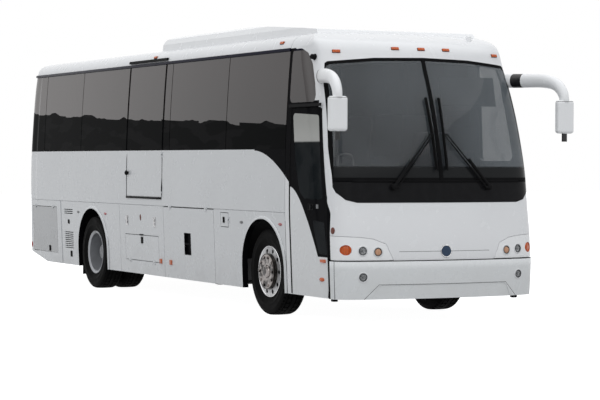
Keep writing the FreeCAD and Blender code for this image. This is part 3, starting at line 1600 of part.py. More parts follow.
def hand_holes(body, side):
    """A ring of round hand holes cut through a wheel's disc."""
    plane = [item for item in body.Origin.OriginFeatures if item.Role == "XZ_Plane"][0]
    sketch = body.newObject("Sketcher::SketchObject", body.Name + "_hole")
    sketch.AttachmentSupport = [(plane, "")]
    sketch.MapMode = "FlatFace"
    circle = Part.Circle(Vector(size.hand_hole_circle, 0, 0), Vector(0, 0, 1), size.hand_hole_radius)
    sketch.addGeometry(circle, False)
    far = sketch.addConstraint(Sketcher.Constraint("DistanceX", -1, 1, 0, 3, size.hand_hole_circle))
    sketch.setExpression("Constraints[%d]" % far, "sizes.hand_hole_circle")
    sketch.addConstraint(Sketcher.Constraint("DistanceY", -1, 1, 0, 3, 0))
    wide = sketch.addConstraint(Sketcher.Constraint("Radius", 0, size.hand_hole_radius))
    sketch.setExpression("Constraints[%d]" % wide, "sizes.hand_hole_radius")
    pocket = body.newObject("PartDesign::Pocket", body.Name + "_hand_hole")
    pocket.Profile = sketch
    pocket.setExpression("Length", "sizes.disc_out + sizes.rim_wall")
    pocket.Reversed = side > 0
    ring = body.newObject("PartDesign::PolarPattern", body.Name + "_hand_holes")
    ring.Originals = [pocket]
    axis = [item for item in body.Origin.OriginFeatures if item.Role == "Y_Axis"][0]
    ring.Axis = (axis, [""])
    ring.Angle = 360
    ring.setExpression("Occurrences", "sizes.hand_hole_count")
    body.Tip = ring


def wheels():
    """Front single and rear twin wheels on both sides."""
    for word, side in (("right", -1), ("left", 1)):
        sign = "(%d)" % side
        front = ("0", sign + " * sizes.front_wheel_y", "sizes.tyre_radius")
        rear = ("(-sizes.wheelbase)", "0", "sizes.tyre_radius")
        middle = ("(-sizes.wheelbase)", sign + " * (sizes.rear_outer_wheel_y + sizes.rear_inner_wheel_y) / 2",
                  "sizes.tyre_radius")
        add_node("tyre_front_" + word, revolved("tyre_front_" + word, tyre_corners("0"), front))
        wheel = revolved("wheel_front_" + word, signed(front_wheel_rows(), side), front)
        hand_holes(wheel, side)
        add_node("wheel_front_" + word, wheel)
        outer = revolved("tyre_outer_" + word, tyre_corners(sign + " * sizes.rear_outer_wheel_y"), rear)
        inner = revolved("tyre_inner_" + word, tyre_corners(sign + " * sizes.rear_inner_wheel_y"), rear)
        pair = doc.addObject("Part::Compound", "tyres_rear_" + word)
        pair.Links = [outer, inner]
        add_node("tyres_rear_" + word, pair)
        add_node("wheels_rear_" + word, revolved("wheels_rear_" + word, signed(rear_wheel_rows(), side), middle))


wheels()

# Axles, knuckles and the tie rod
add_sizes(
    rail_y=420,
    rail_half_width=40,
    rail_bottom=600,
    rail_top=850,
    beam_half_depth=45,
    beam_half_length=620,
    beam_drop=105,
    beam_thickness=70,
    beam_eye_radius=50,
    beam_eye_half_height=60,
    beam_rise_y=790,
    air_bag_radius=95,
    ear_thickness=40,
    knuckle_face_y=955,
    knuckle_spine=13,
    spindle_start_y=958,
    track_arm=220,
    track_arm_half_width=20,
    track_arm_thickness=30,
    track_eye_radius=28,
    ball_pin_radius=12,
    ball_pin_drop=50,
    tie_rod_radius=15,
    tie_rod_eye_radius=24,
    tie_rod_eye_height=40,
    tie_rod_drop=145,
    centre_casing_radius=190,
    nose_casing_radius=90,
    nose_casing_length=380,
)


def front_axle():
    """Dropped beam between the kingpins with air bags under the rails."""
    hub = size.tyre_radius
    low = hub - size.beam_drop
    high = low + size.beam_thickness
    depth = size.beam_half_depth
    eye = size.beam_eye_half_height
    parts = [block(-depth, depth, -size.beam_half_length, size.beam_half_length, low, high)]
    bores = []
    for side in (-1, 1):
        ramp = [
            (size.beam_half_length, low), (size.beam_rise_y, hub - eye), (size.kingpin_y, hub - eye),
            (size.kingpin_y, hub + eye), (size.beam_rise_y, hub + eye),
            (size.beam_half_length - size.beam_half_depth / 2, high), (size.beam_half_length - size.beam_half_depth / 2, low),
        ]
        parts.append(end_prism([(side * y, z) for y, z in ramp], -depth, depth))
        pin = Vector(0, side * size.kingpin_y, hub - eye)
        parts.append(Part.makeCylinder(size.beam_eye_radius, 2 * eye, pin))
        bag = Vector(0, side * size.rail_y, high)
        parts.append(Part.makeCylinder(size.air_bag_radius, size.rail_bottom - size.seat_gap - high, bag))
        bore = Vector(0, side * size.kingpin_y, hub - size.overrun)
        bores.append(Part.makeCylinder(size.kingpin_radius + size.kingpin_clearance, 2 * size.overrun, bore))
    beam = parts[0].multiFuse(parts[1:]).cut(bores)
    feature("front_axle_beam", beam.removeSplitter())


front_axle()


def between(side, inner, outer):
    """Two places across the vehicle on one side, the lower first."""
    return sorted((side * inner, side * outer))


def knuckle(word, side):
    """Steering knuckle: ears and pin round the beam's eye, spindle outward, track arm to the rear."""
    hub = size.tyre_radius
    pin_y = side * size.kingpin_y
    gap = size.seat_gap
    eye = size.beam_eye_half_height
    ear = size.ear_thickness
    depth = size.beam_half_depth
    low = hub - eye - ear
    pin = Vector(0, pin_y, low)
    parts = [Part.makeCylinder(size.kingpin_radius, 2 * (eye + ear), pin)]
    near, far = between(side, size.kingpin_y, size.knuckle_face_y)
    for foot in (low, hub + eye + gap):
        parts.append(Part.makeCylinder(size.beam_eye_radius, ear - gap, Vector(0, pin_y, foot)))
        parts.append(block(-depth, depth, near, far, foot, foot + ear - gap))
    near, far = between(side, size.knuckle_face_y - size.knuckle_spine, size.knuckle_face_y)
    parts.append(block(-depth, depth, near, far, low, hub + eye + ear))
    spindle_end = size.front_wheel_y + size.spindle_out - size.hub_bore_clearance
    near, far = between(side, size.knuckle_face_y, spindle_end)
    parts.append(Part.makeCylinder(size.spindle_radius, far - near, Vector(0, near, hub), Vector(0, 1, 0)))
    half = size.track_arm_half_width
    parts.append(block(-size.track_arm, 0, pin_y - half, pin_y + half, low, low + size.track_arm_thickness))
    end = Vector(-size.track_arm, pin_y, low)
    parts.append(Part.makeCylinder(size.track_eye_radius, size.track_arm_thickness, end))
    ball = Vector(-size.track_arm, pin_y, low - size.ball_pin_drop)
    parts.append(Part.makeCylinder(size.ball_pin_radius, size.ball_pin_drop + size.track_arm_thickness, ball))
    feature("knuckle_" + word, parts[0].multiFuse(parts[1:]).removeSplitter())


knuckle("right", -1)
knuckle("left", 1)


def tie_rod():
    """Rod between the track arms, one eye on each ball pin."""
    low = size.tyre_radius - size.tie_rod_drop
    height = size.tie_rod_eye_height
    start = Vector(-size.track_arm, -size.kingpin_y, low + height / 2)
    bar = Part.makeCylinder(size.tie_rod_radius, size.kingpin_y * 2, start, Vector(0, 1, 0))
    eyes = []
    bores = []
    for side in (-1, 1):
        eye = Vector(-size.track_arm, side * size.kingpin_y, low)
        eyes.append(Part.makeCylinder(size.tie_rod_eye_radius, height, eye))
        bores.append(Part.makeCylinder(size.ball_pin_radius + size.kingpin_clearance, height, eye))
    feature("tie_rod", bar.multiFuse(eyes).cut(bores).removeSplitter())


tie_rod()


def rear_axle():
    """Drive axle: tube, round centre casing with its nose to the rear, air bags under the rails."""
    centre = ("(-sizes.wheelbase)", "0", "sizes.tyre_radius")
    across = (Vector(1, 0, 0), -90)
    back = (Vector(0, 1, 0), -90)
    pieces = [
        primitive("Cylinder", "axle_tube", ("(-sizes.wheelbase)", "-sizes.rear_tube_half_length", "sizes.tyre_radius"),
                  across, Radius="sizes.rear_tube_radius", Height="2 * sizes.rear_tube_half_length"),
        primitive("Sphere", "centre_casing", centre, None, Radius="sizes.centre_casing_radius"),
        primitive("Cylinder", "nose_casing", centre, back, Radius="sizes.nose_casing_radius",
                  Height="sizes.nose_casing_length"),
    ]
    for word, side in (("right", -1), ("left", 1)):
        pieces.append(primitive(
            "Cylinder", "rear_air_bag_" + word, ("(-sizes.wheelbase)", "(%d) * sizes.rail_y" % side, "sizes.tyre_radius"),
            None, Radius="sizes.air_bag_radius", Height="sizes.rail_bottom - sizes.tyre_radius - sizes.seat_gap"))
    add_node("rear_axle", fuse("rear_axle", pieces))


rear_axle()

# Frame, floors, luggage tubs, wheel housings and engine
add_sizes(
    frame_rear_back=8090,
    frame_front_ahead=1880,
    cross_beam_width=60,
    cross_beam_height=80,
    post_width=50,
    outer_post_y=1100,
    floor_bottom=1250,
    floor_thickness=40,
    floor_rear_clear=60,
    jack_pad_back=6600,
    jack_pad_length=160,
    jack_pad_height=20,
    first_beam_back=7900,
    second_beam_back=6760,
    third_beam_back=4700,
    fourth_beam_back=3058,
    fifth_beam_back=1230,
    sixth_beam_ahead=680,
    low_beam_bottom=640,
    cab_floor_height=1050,
    cab_floor_thickness=25,
    step_rise=230,
    step_going=250,
    bottom_step_height=395,
    bottom_step_edge_y=1170,
    steps_rear_ahead=745,
    steps_front_ahead=1560,
    tub_inner_y=480,
    tub_plate=12,
    tub_bottom=325,
    lift_tub_inner_y=700,
    tub_margin=5,
    lift_tub_margin=12,
    housing_radius=650,
    housing_plate=8,
    housing_foot=120,
    front_housing_inner_y=490,
    rear_housing_inner_y=580,
    mud_flap_back=632,
    mud_flap_thickness=8,
    mud_flap_inner_y=600,
    mud_flap_outer_y=1170,
    mud_flap_bottom=165,
    mud_flap_top=640,
    engine_rear_back=7750,
    engine_length=850,
    engine_bottom=560,
    engine_height=670,
)


def chassis_frame():
    """Two rails with jack pads, and cross frames seated on them that carry the floor and the skirts."""
    gap = size.seat_gap
    pieces = []
    for side in (-1, 1):
        near, far = between(side, size.rail_y - size.rail_half_width, size.rail_y + size.rail_half_width)
        pieces.append(block(-size.frame_rear_back, size.frame_front_ahead, near, far, size.rail_bottom,
                            size.rail_top))
        rear = -size.jack_pad_back - size.jack_pad_length / 2
        pieces.append(block(rear, rear + size.jack_pad_length, near, far, size.rail_bottom - size.jack_pad_height,
                            size.rail_bottom - gap))
    stations = [-size.first_beam_back, -size.second_beam_back, -size.third_beam_back, -size.fourth_beam_back,
                -size.fifth_beam_back, size.sixth_beam_ahead]
    half = size.cross_beam_width / 2
    post = size.post_width / 2
    inner = size.rail_y - size.rail_half_width - gap
    foot = size.rail_top + gap
    top = size.rail_top + size.cross_beam_height
    for x in stations:
        pieces.append(inside(wide_block(x - half, x + half, foot, top)))
        head = size.floor_bottom if x < size.front_module_ahead else size.cab_floor_height
        for y in (-size.outer_post_y, -size.rail_y, size.rail_y, size.outer_post_y):
            pieces.append(block(x - post, x + post, y - post, y + post, top + gap, head - gap))
        pieces.append(block(x - post, x + post, -inner, inner, size.low_beam_bottom,
                            size.low_beam_bottom + size.cross_beam_height))
    feature("chassis_frame", Part.Compound(pieces))


chassis_frame()


def stair_outline():
    """The entry steps seen from the front, from the bottom tread up to the cab floor."""
    plate = size.cab_floor_thickness
    rise = size.step_rise
    top = size.cab_floor_height
    edge = -size.bottom_step_edge_y
    low = size.bottom_step_height
    upper = [(edge, low)]
    under = []
    y = edge + size.step_going
    z = low
    while z + rise <= top:
        upper.append((y, z))
        upper.append((y, z + rise))
        under.append((y - plate, z + plate))
        under.append((y - plate, z + rise + plate))
        y += size.step_going
        z += rise
    last = size.belt_half_width
    upper += [(y, z), (y, top), (last, top), (last, top + plate)]
    under += [(y - plate, z + plate), (y - plate, top + plate)]
    return upper + list(reversed(under)) + [(edge, low + plate)]


def floors():
    """Passenger floor, and the cab floor with the entry steps."""
    rear = -size.rear_module_back + size.floor_rear_clear
    front = size.front_module_ahead
    deck = wide_block(rear, front, size.floor_bottom, size.floor_bottom + size.floor_thickness)
    low = size.cab_floor_height
    high = low + size.cab_floor_thickness
    plate = size.cab_floor_thickness
    steps = end_prism(stair_outline(), size.steps_rear_ahead, size.steps_front_ahead)
    landing = wide_block(front + size.leaf_gap, size.steps_rear_ahead, low, high)
    nose = wide_block(size.steps_front_ahead, size.frame_front_ahead, low, high)
    riser = wide_block(front + size.seat_gap, front + plate, high, size.floor_bottom)
    rear = size.steps_rear_ahead - plate
    rail_side = size.rail_y + size.rail_half_width + size.seat_gap
    over_rail = size.rail_top + size.seat_gap
    stair_end = block(rear, size.steps_rear_ahead, -size.belt_half_width, -rail_side, size.bottom_step_height, high)
    stair_end = stair_end.fuse(block(rear, size.steps_rear_ahead, -rail_side, -size.rail_y, over_rail, high))
    cab = steps.multiFuse([landing, nose, riser, stair_end])
    feature("floor", inside(deck))
    feature("cab_floor", inside(cab).removeSplitter())


floors()


def tub(opening, bottom, top, inner_y, margin, side):
    """The five plates of an open-fronted box behind a door in the side."""
    rear = opening[0] + margin
    front = opening[1] - margin
    plate = size.tub_plate
    gap = size.seat_gap
    near, far = between(side, inner_y + plate + gap, size.belt_half_width)
    back = between(side, inner_y, inner_y + plate)
    low = bottom + plate + gap
    high = top - plate - gap
    plates = [
        block(rear, front, back[0], back[1], bottom, top), block(rear, front, near, far, bottom, bottom + plate),
        block(rear, front, near, far, top - plate, top), block(rear, rear + plate, near, far, low, high),
        block(front - plate, front, near, far, low, high),
    ]
    return [inside(plate) for plate in plates]


def luggage_tubs():
    """Luggage spaces on both sides and the lift compartment on the right."""
    low = LIFT_LID[2] - 2 * size.tub_plate
    high = LIFT_LID[3] + 2 * size.tub_plate
    plates = tub(LIFT_LID, low, high, size.lift_tub_inner_y, -size.lift_tub_margin, -1)
    for side in (-1, 1):
        plates += tub(LUGGAGE_DOOR, size.tub_bottom, size.door_head, size.tub_inner_y, size.tub_margin, side)
    feature("luggage_tubs", Part.Compound(plates))


luggage_tubs()


def wheel_housings():
    """Arched liners over the wheels with flat inner sides, and the rear mud flaps."""
    pieces = []
    hub = size.tyre_radius
    radius = size.housing_radius
    reach = size.belt_half_width
    for side in (-1, 1):
        for x, inner in ((0, size.front_housing_inner_y), (-size.wheelbase, size.rear_housing_inner_y)):
            near, far = between(side, inner, reach)
            outer = Part.makeCylinder(radius, far - near, Vector(x, near, hub), Vector(0, 1, 0))
            near, far = between(side, inner + size.housing_plate, reach + size.overrun)
            hollow = Part.makeCylinder(radius - size.housing_plate, far - near, Vector(x, near, hub), Vector(0, 1, 0))
            over = wide_block(x - radius, x + radius, hub + size.housing_foot, hub + radius)
            pieces.append(inside(outer.cut(hollow).common(over)))
        near, far = between(side, size.mud_flap_inner_y, size.mud_flap_outer_y)
        back = -size.wheelbase - size.mud_flap_back
        pieces.append(block(back, back + size.mud_flap_thickness, near, far, size.mud_flap_bottom, size.mud_flap_top))
    feature("wheel_housings", Part.Compound(pieces))


wheel_housings()

rail_inner = "(sizes.rail_y - sizes.rail_half_width - sizes.seat_gap)"
add_node("engine_block", primitive(
    "Box", "engine_block", ("(-sizes.engine_rear_back)", "-" + rail_inner, "sizes.engine_bottom"),
    Length="sizes.engine_length", Width="2 * " + rail_inner, Height="sizes.engine_height"))

# Cab and seats
add_sizes(
    steering_ahead=1290,
    steering_y=620,
    steering_height=1560,
    steering_tilt=35,
    column_top=110,
    column_radius=34,
    column_length=190,
    steering_radius=225,
    steering_rim=14,
    steering_hub_radius=45,
    steering_hub_depth=50,
    steering_shaft_radius=20,
    spoke_radius=10,
    dash_right_y=560,
    dash_left_y=1240,
    dash_inset=70,
    dash_height=480,
    dash_base=1130,
    hood_rear_ahead=1400,
    hood_length=200,
    hood_inner_y=380,
    hood_width=480,
    hood_bottom=1380,
    hood_height=160,
    dash_foot_ahead=1600,
    dash_foot_depth=100,
    dash_foot_half=300,
    driver_seat_ahead=830,
    driver_seat_y=620,
    driver_seat_width=520,
    seat_y=745,
    seat_width=850,
    first_seat_back=100,
    seat_pitch=800,
    seat_rows=10,
    seat_depth=450,
    seat_foot_depth=330,
    seat_foot_margin=40,
    seat_height=330,
    cushion_thickness=120,
    backrest_height=740,
    backrest_thickness=100,
    backrest_rake=120,
    backrest_corner=30,
)
# The dashboard seen from the side, as shares of the nose's reach and of the dashboard's height
DASH_SHARES = [(0.7016, 0), (0.7164, 0.6042), (0.7708, 0.7083), (0.9190, 0.6875), (0.9387, 0)]


def steering_place():
    """Where the steering wheel's middle is, with its axis along the raked column."""
    place = Vector(size.steering_ahead, size.steering_y, size.steering_height)
    return Placement(place, Rotation(Vector(0, 1, 0), -size.steering_tilt))


def dashboard():
    """Dashboard across the cab with a raised instrument hood before the driver."""
    outline = [Vector(size.nose_reach * x, -size.dash_right_y, size.dash_base + size.dash_height * z)
               for x, z in DASH_SHARES]
    body = outline_face(outline).extrude(Vector(0, size.dash_right_y + size.dash_left_y, 0))
    x = size.hood_rear_ahead
    y = size.hood_inner_y
    hood = block(x, x + size.hood_length, y, y + size.hood_width, size.hood_bottom, size.hood_bottom + size.hood_height)
    start = Vector(0, 0, -size.column_top - size.column_length)
    column = Part.makeCylinder(size.column_radius, size.column_length, start)
    column.Placement = steering_place()
    x = size.dash_foot_ahead
    foot = block(x, x + size.dash_foot_depth, -size.dash_foot_half, size.steering_y,
                 size.cab_floor_height + size.cab_floor_thickness + size.seat_gap, size.dash_base + size.dash_foot_depth)
    shape = body.fuse(hood).common(form(size.dash_inset)).multiFuse([column, foot])
    feature("dashboard", shape.removeSplitter())


dashboard()


def seat(x, y, width, floor):
    """One seat: foot, cushion and raked back with rounded corners."""
    rear = x - size.seat_depth / 2
    half = width / 2
    low = floor + size.seat_height
    margin = size.seat_foot_margin
    foot = block(rear + margin, rear + margin + size.seat_foot_depth, y - half + margin, y + half - margin,
                 floor + size.seat_gap, low)
    corner = size.backrest_corner
    cushion = [(rear, low), (rear + size.seat_depth, low), (rear + size.seat_depth, low + size.cushion_thickness),
               (rear, low + size.cushion_thickness)]
    top = low + size.backrest_height
    rake = size.backrest_rake
    thick = size.backrest_thickness
    rest = [(rear, low), (rear + thick, low), (rear + thick - rake, top), (rear - rake, top)]
    parts = [foot]
    for outline in (cushion, rest):
        points = [Vector(px, y - half, pz) for px, pz in outline]
        parts.append(outline_face(points, corner).extrude(Vector(0, width, 0)))
    return parts[0].multiFuse(parts[1:]).removeSplitter()


def seats():
    """The driver's seat and double seats along both sides, with the lift door kept free."""
    cab = size.cab_floor_height + size.cab_floor_thickness
    deck = size.floor_bottom + size.floor_thickness
    rows = [seat(size.driver_seat_ahead, size.driver_seat_y, size.driver_seat_width, cab)]
    for number in range(round(size.seat_rows)):
        x = -size.first_seat_back - size.seat_pitch * number
        rows.append(seat(x, size.seat_y, size.seat_width, deck))
        beside_door = LIFT_DOOR[0] - size.seat_depth < x < LIFT_DOOR[1] + size.seat_depth
        if not beside_door:
            rows.append(seat(x, -size.seat_y, size.seat_width, deck))
    feature("seats", Part.Compound(rows))


seats()


def steering_wheel():
    """Rim, three spokes, hub and shaft on the raked axis."""
    rim = size.steering_rim
    corners = []
    for step in range(8):
        turn = math.radians(45 * step + 22.5)
        corners.append(Vector(size.steering_radius + rim * math.cos(turn), 0, rim * math.sin(turn)))
    ring = Part.Solid(outline_face(corners).revolve(Vector(), Vector(0, 0, 1), 360))
    hub = Part.makeCylinder(size.steering_hub_radius, size.steering_hub_depth + spoke_drop(),
                            Vector(0, 0, -size.steering_hub_depth))
    shaft = Part.makeCylinder(size.steering_shaft_radius, size.column_top - size.seat_gap,
                              Vector(0, 0, size.seat_gap - size.column_top))
    spokes = []
    for third in range(3):
        turn = math.radians(120 * third)
        way = Vector(math.cos(turn), math.sin(turn), 0)
        spokes.append(Part.makeCylinder(size.spoke_radius, size.steering_radius, Vector(0, 0, 0), way))
    wheel = ring.multiFuse([hub, shaft] + spokes)
    wheel.Placement = steering_place()
    feature("steering_wheel", wheel)


def spoke_drop():
    """How far the hub stands up over the spokes' axis."""
    return size.spoke_radius


steering_wheel()

doc.recompute()
os.makedirs("parts", exist_ok=True)
for piece in doc.Objects:
    if "Invalid" in piece.State or "Error" in piece.State:
        raise SystemExit("failed object: " + piece.Name)
for name, piece in nodes.items():
    shape = piece.Shape
    if shape.isNull() or not shape.isValid() or not shape.Solids:
        raise SystemExit("bad shape: " + name)
    shape.exportStep("parts/%s.step" % name)
    box = shape.BoundBox
    print("%-26s solids %2d  X %8.1f %8.1f  Y %8.1f %8.1f  Z %7.1f %7.1f" % (
        name, len(shape.Solids), box.XMin, box.XMax, box.YMin, box.YMax, box.ZMin, box.ZMax))
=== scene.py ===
import math
import bpy
import bmesh
from mathutils import Matrix, Vector


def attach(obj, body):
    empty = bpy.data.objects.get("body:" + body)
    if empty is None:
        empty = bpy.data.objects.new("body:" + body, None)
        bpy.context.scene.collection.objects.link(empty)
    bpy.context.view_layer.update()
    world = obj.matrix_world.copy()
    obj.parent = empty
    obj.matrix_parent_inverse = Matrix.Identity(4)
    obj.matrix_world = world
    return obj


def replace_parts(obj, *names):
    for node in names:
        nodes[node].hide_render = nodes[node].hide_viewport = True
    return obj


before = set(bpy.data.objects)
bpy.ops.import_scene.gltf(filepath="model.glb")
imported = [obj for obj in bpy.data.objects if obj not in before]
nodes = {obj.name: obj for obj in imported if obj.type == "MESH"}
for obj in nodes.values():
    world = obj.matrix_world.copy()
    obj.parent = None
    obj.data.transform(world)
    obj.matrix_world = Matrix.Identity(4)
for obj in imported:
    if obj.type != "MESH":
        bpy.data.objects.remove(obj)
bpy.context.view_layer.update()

# Studio. The coach stands on white paper that runs back without a horizon, under an overcast sky:
# bright from above and softer on upright walls. The camera sees paper and sky as plain white.
FLOOR_SIZE = 160
FLOOR_GREY = (0.44, 0.44, 0.44)
FLOOR_GREY_FIBRE = (0.46, 0.46, 0.46)
FIBRE_GRAIN = 40
PAPER_GLOW = 0.60
PAPER_SEEN = 0.98
SKY_WHITE = (1.0, 1.0, 1.0, 1)
SKY_LIGHT = (0.93, 0.96, 1.0, 1)
SKY_STRENGTH = 0.42
SUN_STRENGTH = 1.95
SUN_SPREAD = 110
SUN_TILT = (math.radians(7), math.radians(17), 0)
CAMERA_PLACE = Vector((24.4687, -11.4092, 1.7686))
CAMERA_YAW = math.radians(26.4166)
CAMERA_PITCH = math.radians(-1.0547)
CAMERA_ROLL = math.radians(0.1888)
CAMERA_LENS = 123.0
CAMERA_SENSOR = 36


class Socket:
    """A shader value that adds Math nodes when it is used in a Python expression."""

    def __init__(self, finish, link):
        self.finish = finish
        self.link = link

    def joined(self, operation, first, second=None):
        """A Math node over one value or two."""
        values = {0: first} if second is None else {0: first, 1: second}
        return self.finish.node("ShaderNodeMath", {"operation": operation}, values)

    def __add__(self, other):
        return self.joined("ADD", self, other)

    def __radd__(self, other):
        return self.joined("ADD", other, self)

    def __sub__(self, other):
        return self.joined("SUBTRACT", self, other)

    def __rsub__(self, other):
        return self.joined("SUBTRACT", other, self)

    def __mul__(self, other):
        return self.joined("MULTIPLY", self, other)

    def __rmul__(self, other):
        return self.joined("MULTIPLY", other, self)

    def __pow__(self, other):
        return self.joined("POWER", self, other)

    def __gt__(self, other):
        return self.joined("GREATER_THAN", self, other)

    def __lt__(self, other):
        return self.joined("LESS_THAN", self, other)

    def between(self, low, high):
        """One where the value lies between two limits."""
        return (self > low) * (self < high)

    def near(self, middle, reach):
        """One where the value is closer to a middle than its reach."""
        return (self - middle).size() < reach

    def stretch(self, start, length):
        """How far along a stretch the value is, from 0 to 1."""
        values = {"Value": self, "From Min": start, "From Max": start + length}
        return self.finish.node("ShaderNodeMapRange", {"interpolation_type": "LINEAR"}, values)

    def wave(self):
        """The sine of the value."""
        return self.joined("SINE", self)

    def size(self):
        """The value without its sign."""
        return self.joined("ABSOLUTE", self)

    def kept(self, low, high, to_low=0.0, to_high=1.0):
        """The value mapped smoothly from one range to another and held inside it."""
        values = {"Value": self, "From Min": low, "From Max": high, "To Min": to_low, "To Max": to_high}
        return self.finish.node("ShaderNodeMapRange", {"interpolation_type": "SMOOTHSTEP"}, values)


def toned(colour, factor, lift=0.0):
    """A colour made darker or brighter."""
    return tuple(factor * part + lift for part in colour)


class Finish:
    """One procedural material, or the sky, built node by node."""

    def __init__(self, name, owner=None):
        self.owner = owner or bpy.data.materials.new(name)
        self.owner.use_nodes = True
        self.tree = self.owner.node_tree
        self.tree.nodes.clear()

    def node(self, kind, settings=None, values=None, output=0):
        """Adds a node, makes its own settings first, then fills its sockets with values or links."""
        made = self.tree.nodes.new(kind)
        for key, setting in (settings or {}).items():
            setattr(made, key, setting)
        for key, value in (values or {}).items():
            if isinstance(value, Socket):
                self.tree.links.new(value.link, made.inputs[key])
            elif isinstance(value, tuple) and len(value) == 3 and made.inputs[key].type == "RGBA":
                made.inputs[key].default_value = (*value, 1)
            else:
                made.inputs[key].default_value = value
        return None if output is None else Socket(self, made.outputs[output])

    def place(self, stretch=None):
        """The point on the object in metres, stretched for a pattern."""
        where = self.node("ShaderNodeTexCoord", output="Object")
        if stretch is None:
            return where
        return self.node("ShaderNodeVectorMath", {"operation": "MULTIPLY"}, {0: where, 1: stretch})

    def part(self, vector, axis):
        """One coordinate of a vector."""
        return self.node("ShaderNodeSeparateXYZ", None, {0: vector}, output=axis)

    def axes(self, wanted="XYZ"):
        """How far along, across and up the point on the object is, in metres."""
        where = self.place()
        return [self.part(where, axis) for axis in wanted]

    def height(self):
        """How far above the ground the point on the object is, in metres."""
        return self.axes("Z")[0]

    def rays(self):
        """Three switches: a ray from the camera, off gloss and through glass."""
        return [self.node("ShaderNodeLightPath", output="Is %s Ray" % kind)
                for kind in ("Camera", "Glossy", "Transmission")]

    def facing(self, axis):
        """One coordinate of the surface's own normal."""
        return self.part(self.node("ShaderNodeTexCoord", output="Normal"), axis)

    def noise(self, scale, detail=4.0, roughness=0.5, stretch=None):
        """Fractal noise over the object."""
        values = {"Vector": self.place(stretch), "Scale": scale, "Detail": detail, "Roughness": roughness}
        return self.node("ShaderNodeTexNoise", None, values)

    def mix(self, share, first, second):
        """Two colours mixed by a share."""
        return self.node("ShaderNodeMix", {"data_type": "RGBA"}, {0: share, 6: first, 7: second}, output=2)

    def bump(self, height, distance):
        """A normal bent by a height, whose full swing is the distance in metres."""
        return self.node("ShaderNodeBump", None, {"Height": height, "Distance": distance, "Strength": 1.0})

    def principled(self, **sockets):
        """The shader; a socket's name is written with underscores."""
        values = {name.replace("_", " "): value for name, value in sockets.items()}
        return self.node("ShaderNodeBsdfPrincipled", None, values)

    def closed(self, shader, end="ShaderNodeOutputMaterial"):
        """Joins a shader to the output."""
        self.node(end, None, {"Surface": shader}, output=None)
        return self.owner

    def surface(self, **sockets):
        """Closes the material with one shader."""
        return self.closed(self.principled(**sockets))

    def blended(self, share, first, second, end="ShaderNodeOutputMaterial"):
        """Closes the material with two shaders mixed by a share."""
        return self.closed(self.node("ShaderNodeMixShader", None, {0: share, 1: first, 2: second}), end)


def paper():
    """White to the camera, and bright to gloss and glass, over the plain paper that the light meets."""
    finish = Finish("studio_paper")
    fibre = finish.noise(FIBRE_GRAIN, 3)
    tone = finish.mix(fibre, FLOOR_GREY, FLOOR_GREY_FIBRE)
    matt = finish.node("ShaderNodeBsdfDiffuse", None, {"Color": tone})
    seen, gloss, through = finish.rays()
    strength = seen * PAPER_SEEN + (gloss + through) * PAPER_GLOW
    glow = finish.node("ShaderNodeEmission", None, {"Color": SKY_WHITE, "Strength": strength})
    return finish.closed(finish.node("ShaderNodeAddShader", None, {0: matt, 1: glow}))


def sky():
    """A white surround for the camera, gloss and glass, and a softer sky for the light itself."""
    world = bpy.data.worlds.new("studio_sky")
    bpy.context.scene.world = world
    finish = Finish("studio_sky", world)
    seen, gloss, through = finish.rays()
    light = finish.node("ShaderNodeBackground", None, {"Color": SKY_LIGHT, "Strength": SKY_STRENGTH})
    white = finish.node("ShaderNodeBackground", None, {"Color": SKY_WHITE})
    finish.blended((seen + gloss + through).kept(0, 1), light, white, "ShaderNodeOutputWorld")


def studio():
    """Floor, sky, one wide soft lamp and the camera."""
    bpy.context.scene.view_settings.view_transform = "Standard"
    bpy.ops.object.select_all(action="DESELECT")
    bpy.ops.mesh.primitive_plane_add(size=FLOOR_SIZE)
    floor = bpy.context.object
    floor.name = "studio_floor"
    floor.data.materials.append(paper())
    sky()
    bpy.ops.object.light_add(type="SUN", rotation=SUN_TILT)
    sun = bpy.context.object
    sun.data.energy = SUN_STRENGTH
    sun.data.angle = math.radians(SUN_SPREAD)
    forward = Vector((-math.cos(CAMERA_YAW) * math.cos(CAMERA_PITCH),
                      math.sin(CAMERA_YAW) * math.cos(CAMERA_PITCH), math.sin(CAMERA_PITCH)))
    right = Vector((math.sin(CAMERA_YAW), math.cos(CAMERA_YAW), 0))
    up = right.cross(forward)
    across = right * math.cos(CAMERA_ROLL) + up * math.sin(CAMERA_ROLL)
    upward = up * math.cos(CAMERA_ROLL) - right * math.sin(CAMERA_ROLL)
    bpy.ops.object.camera_add()
    camera = bpy.context.object
    turn = Matrix((across, upward, -forward)).transposed().to_4x4()
    camera.matrix_world = Matrix.Translation(CAMERA_PLACE) @ turn
    camera.data.lens = CAMERA_LENS
    camera.data.sensor_width = CAMERA_SENSOR
    bpy.context.scene.camera = camera


studio()

# Body shell: steel and moulded panels under gloss white two-pack paint, set down in lit and shaded copies
# panel by panel as painted light and painted shade. Road film dulls the lower panels, the paint has a fine
# orange peel, and the inside faces are grey laminate.
FRONT_AXLE = 3.0797
WHEELBASE = 5.55
GLASS_FOOT = 1.9155
CANTRAIL = 3.052
WHITE_PAINT = (0.80, 0.81, 0.825)
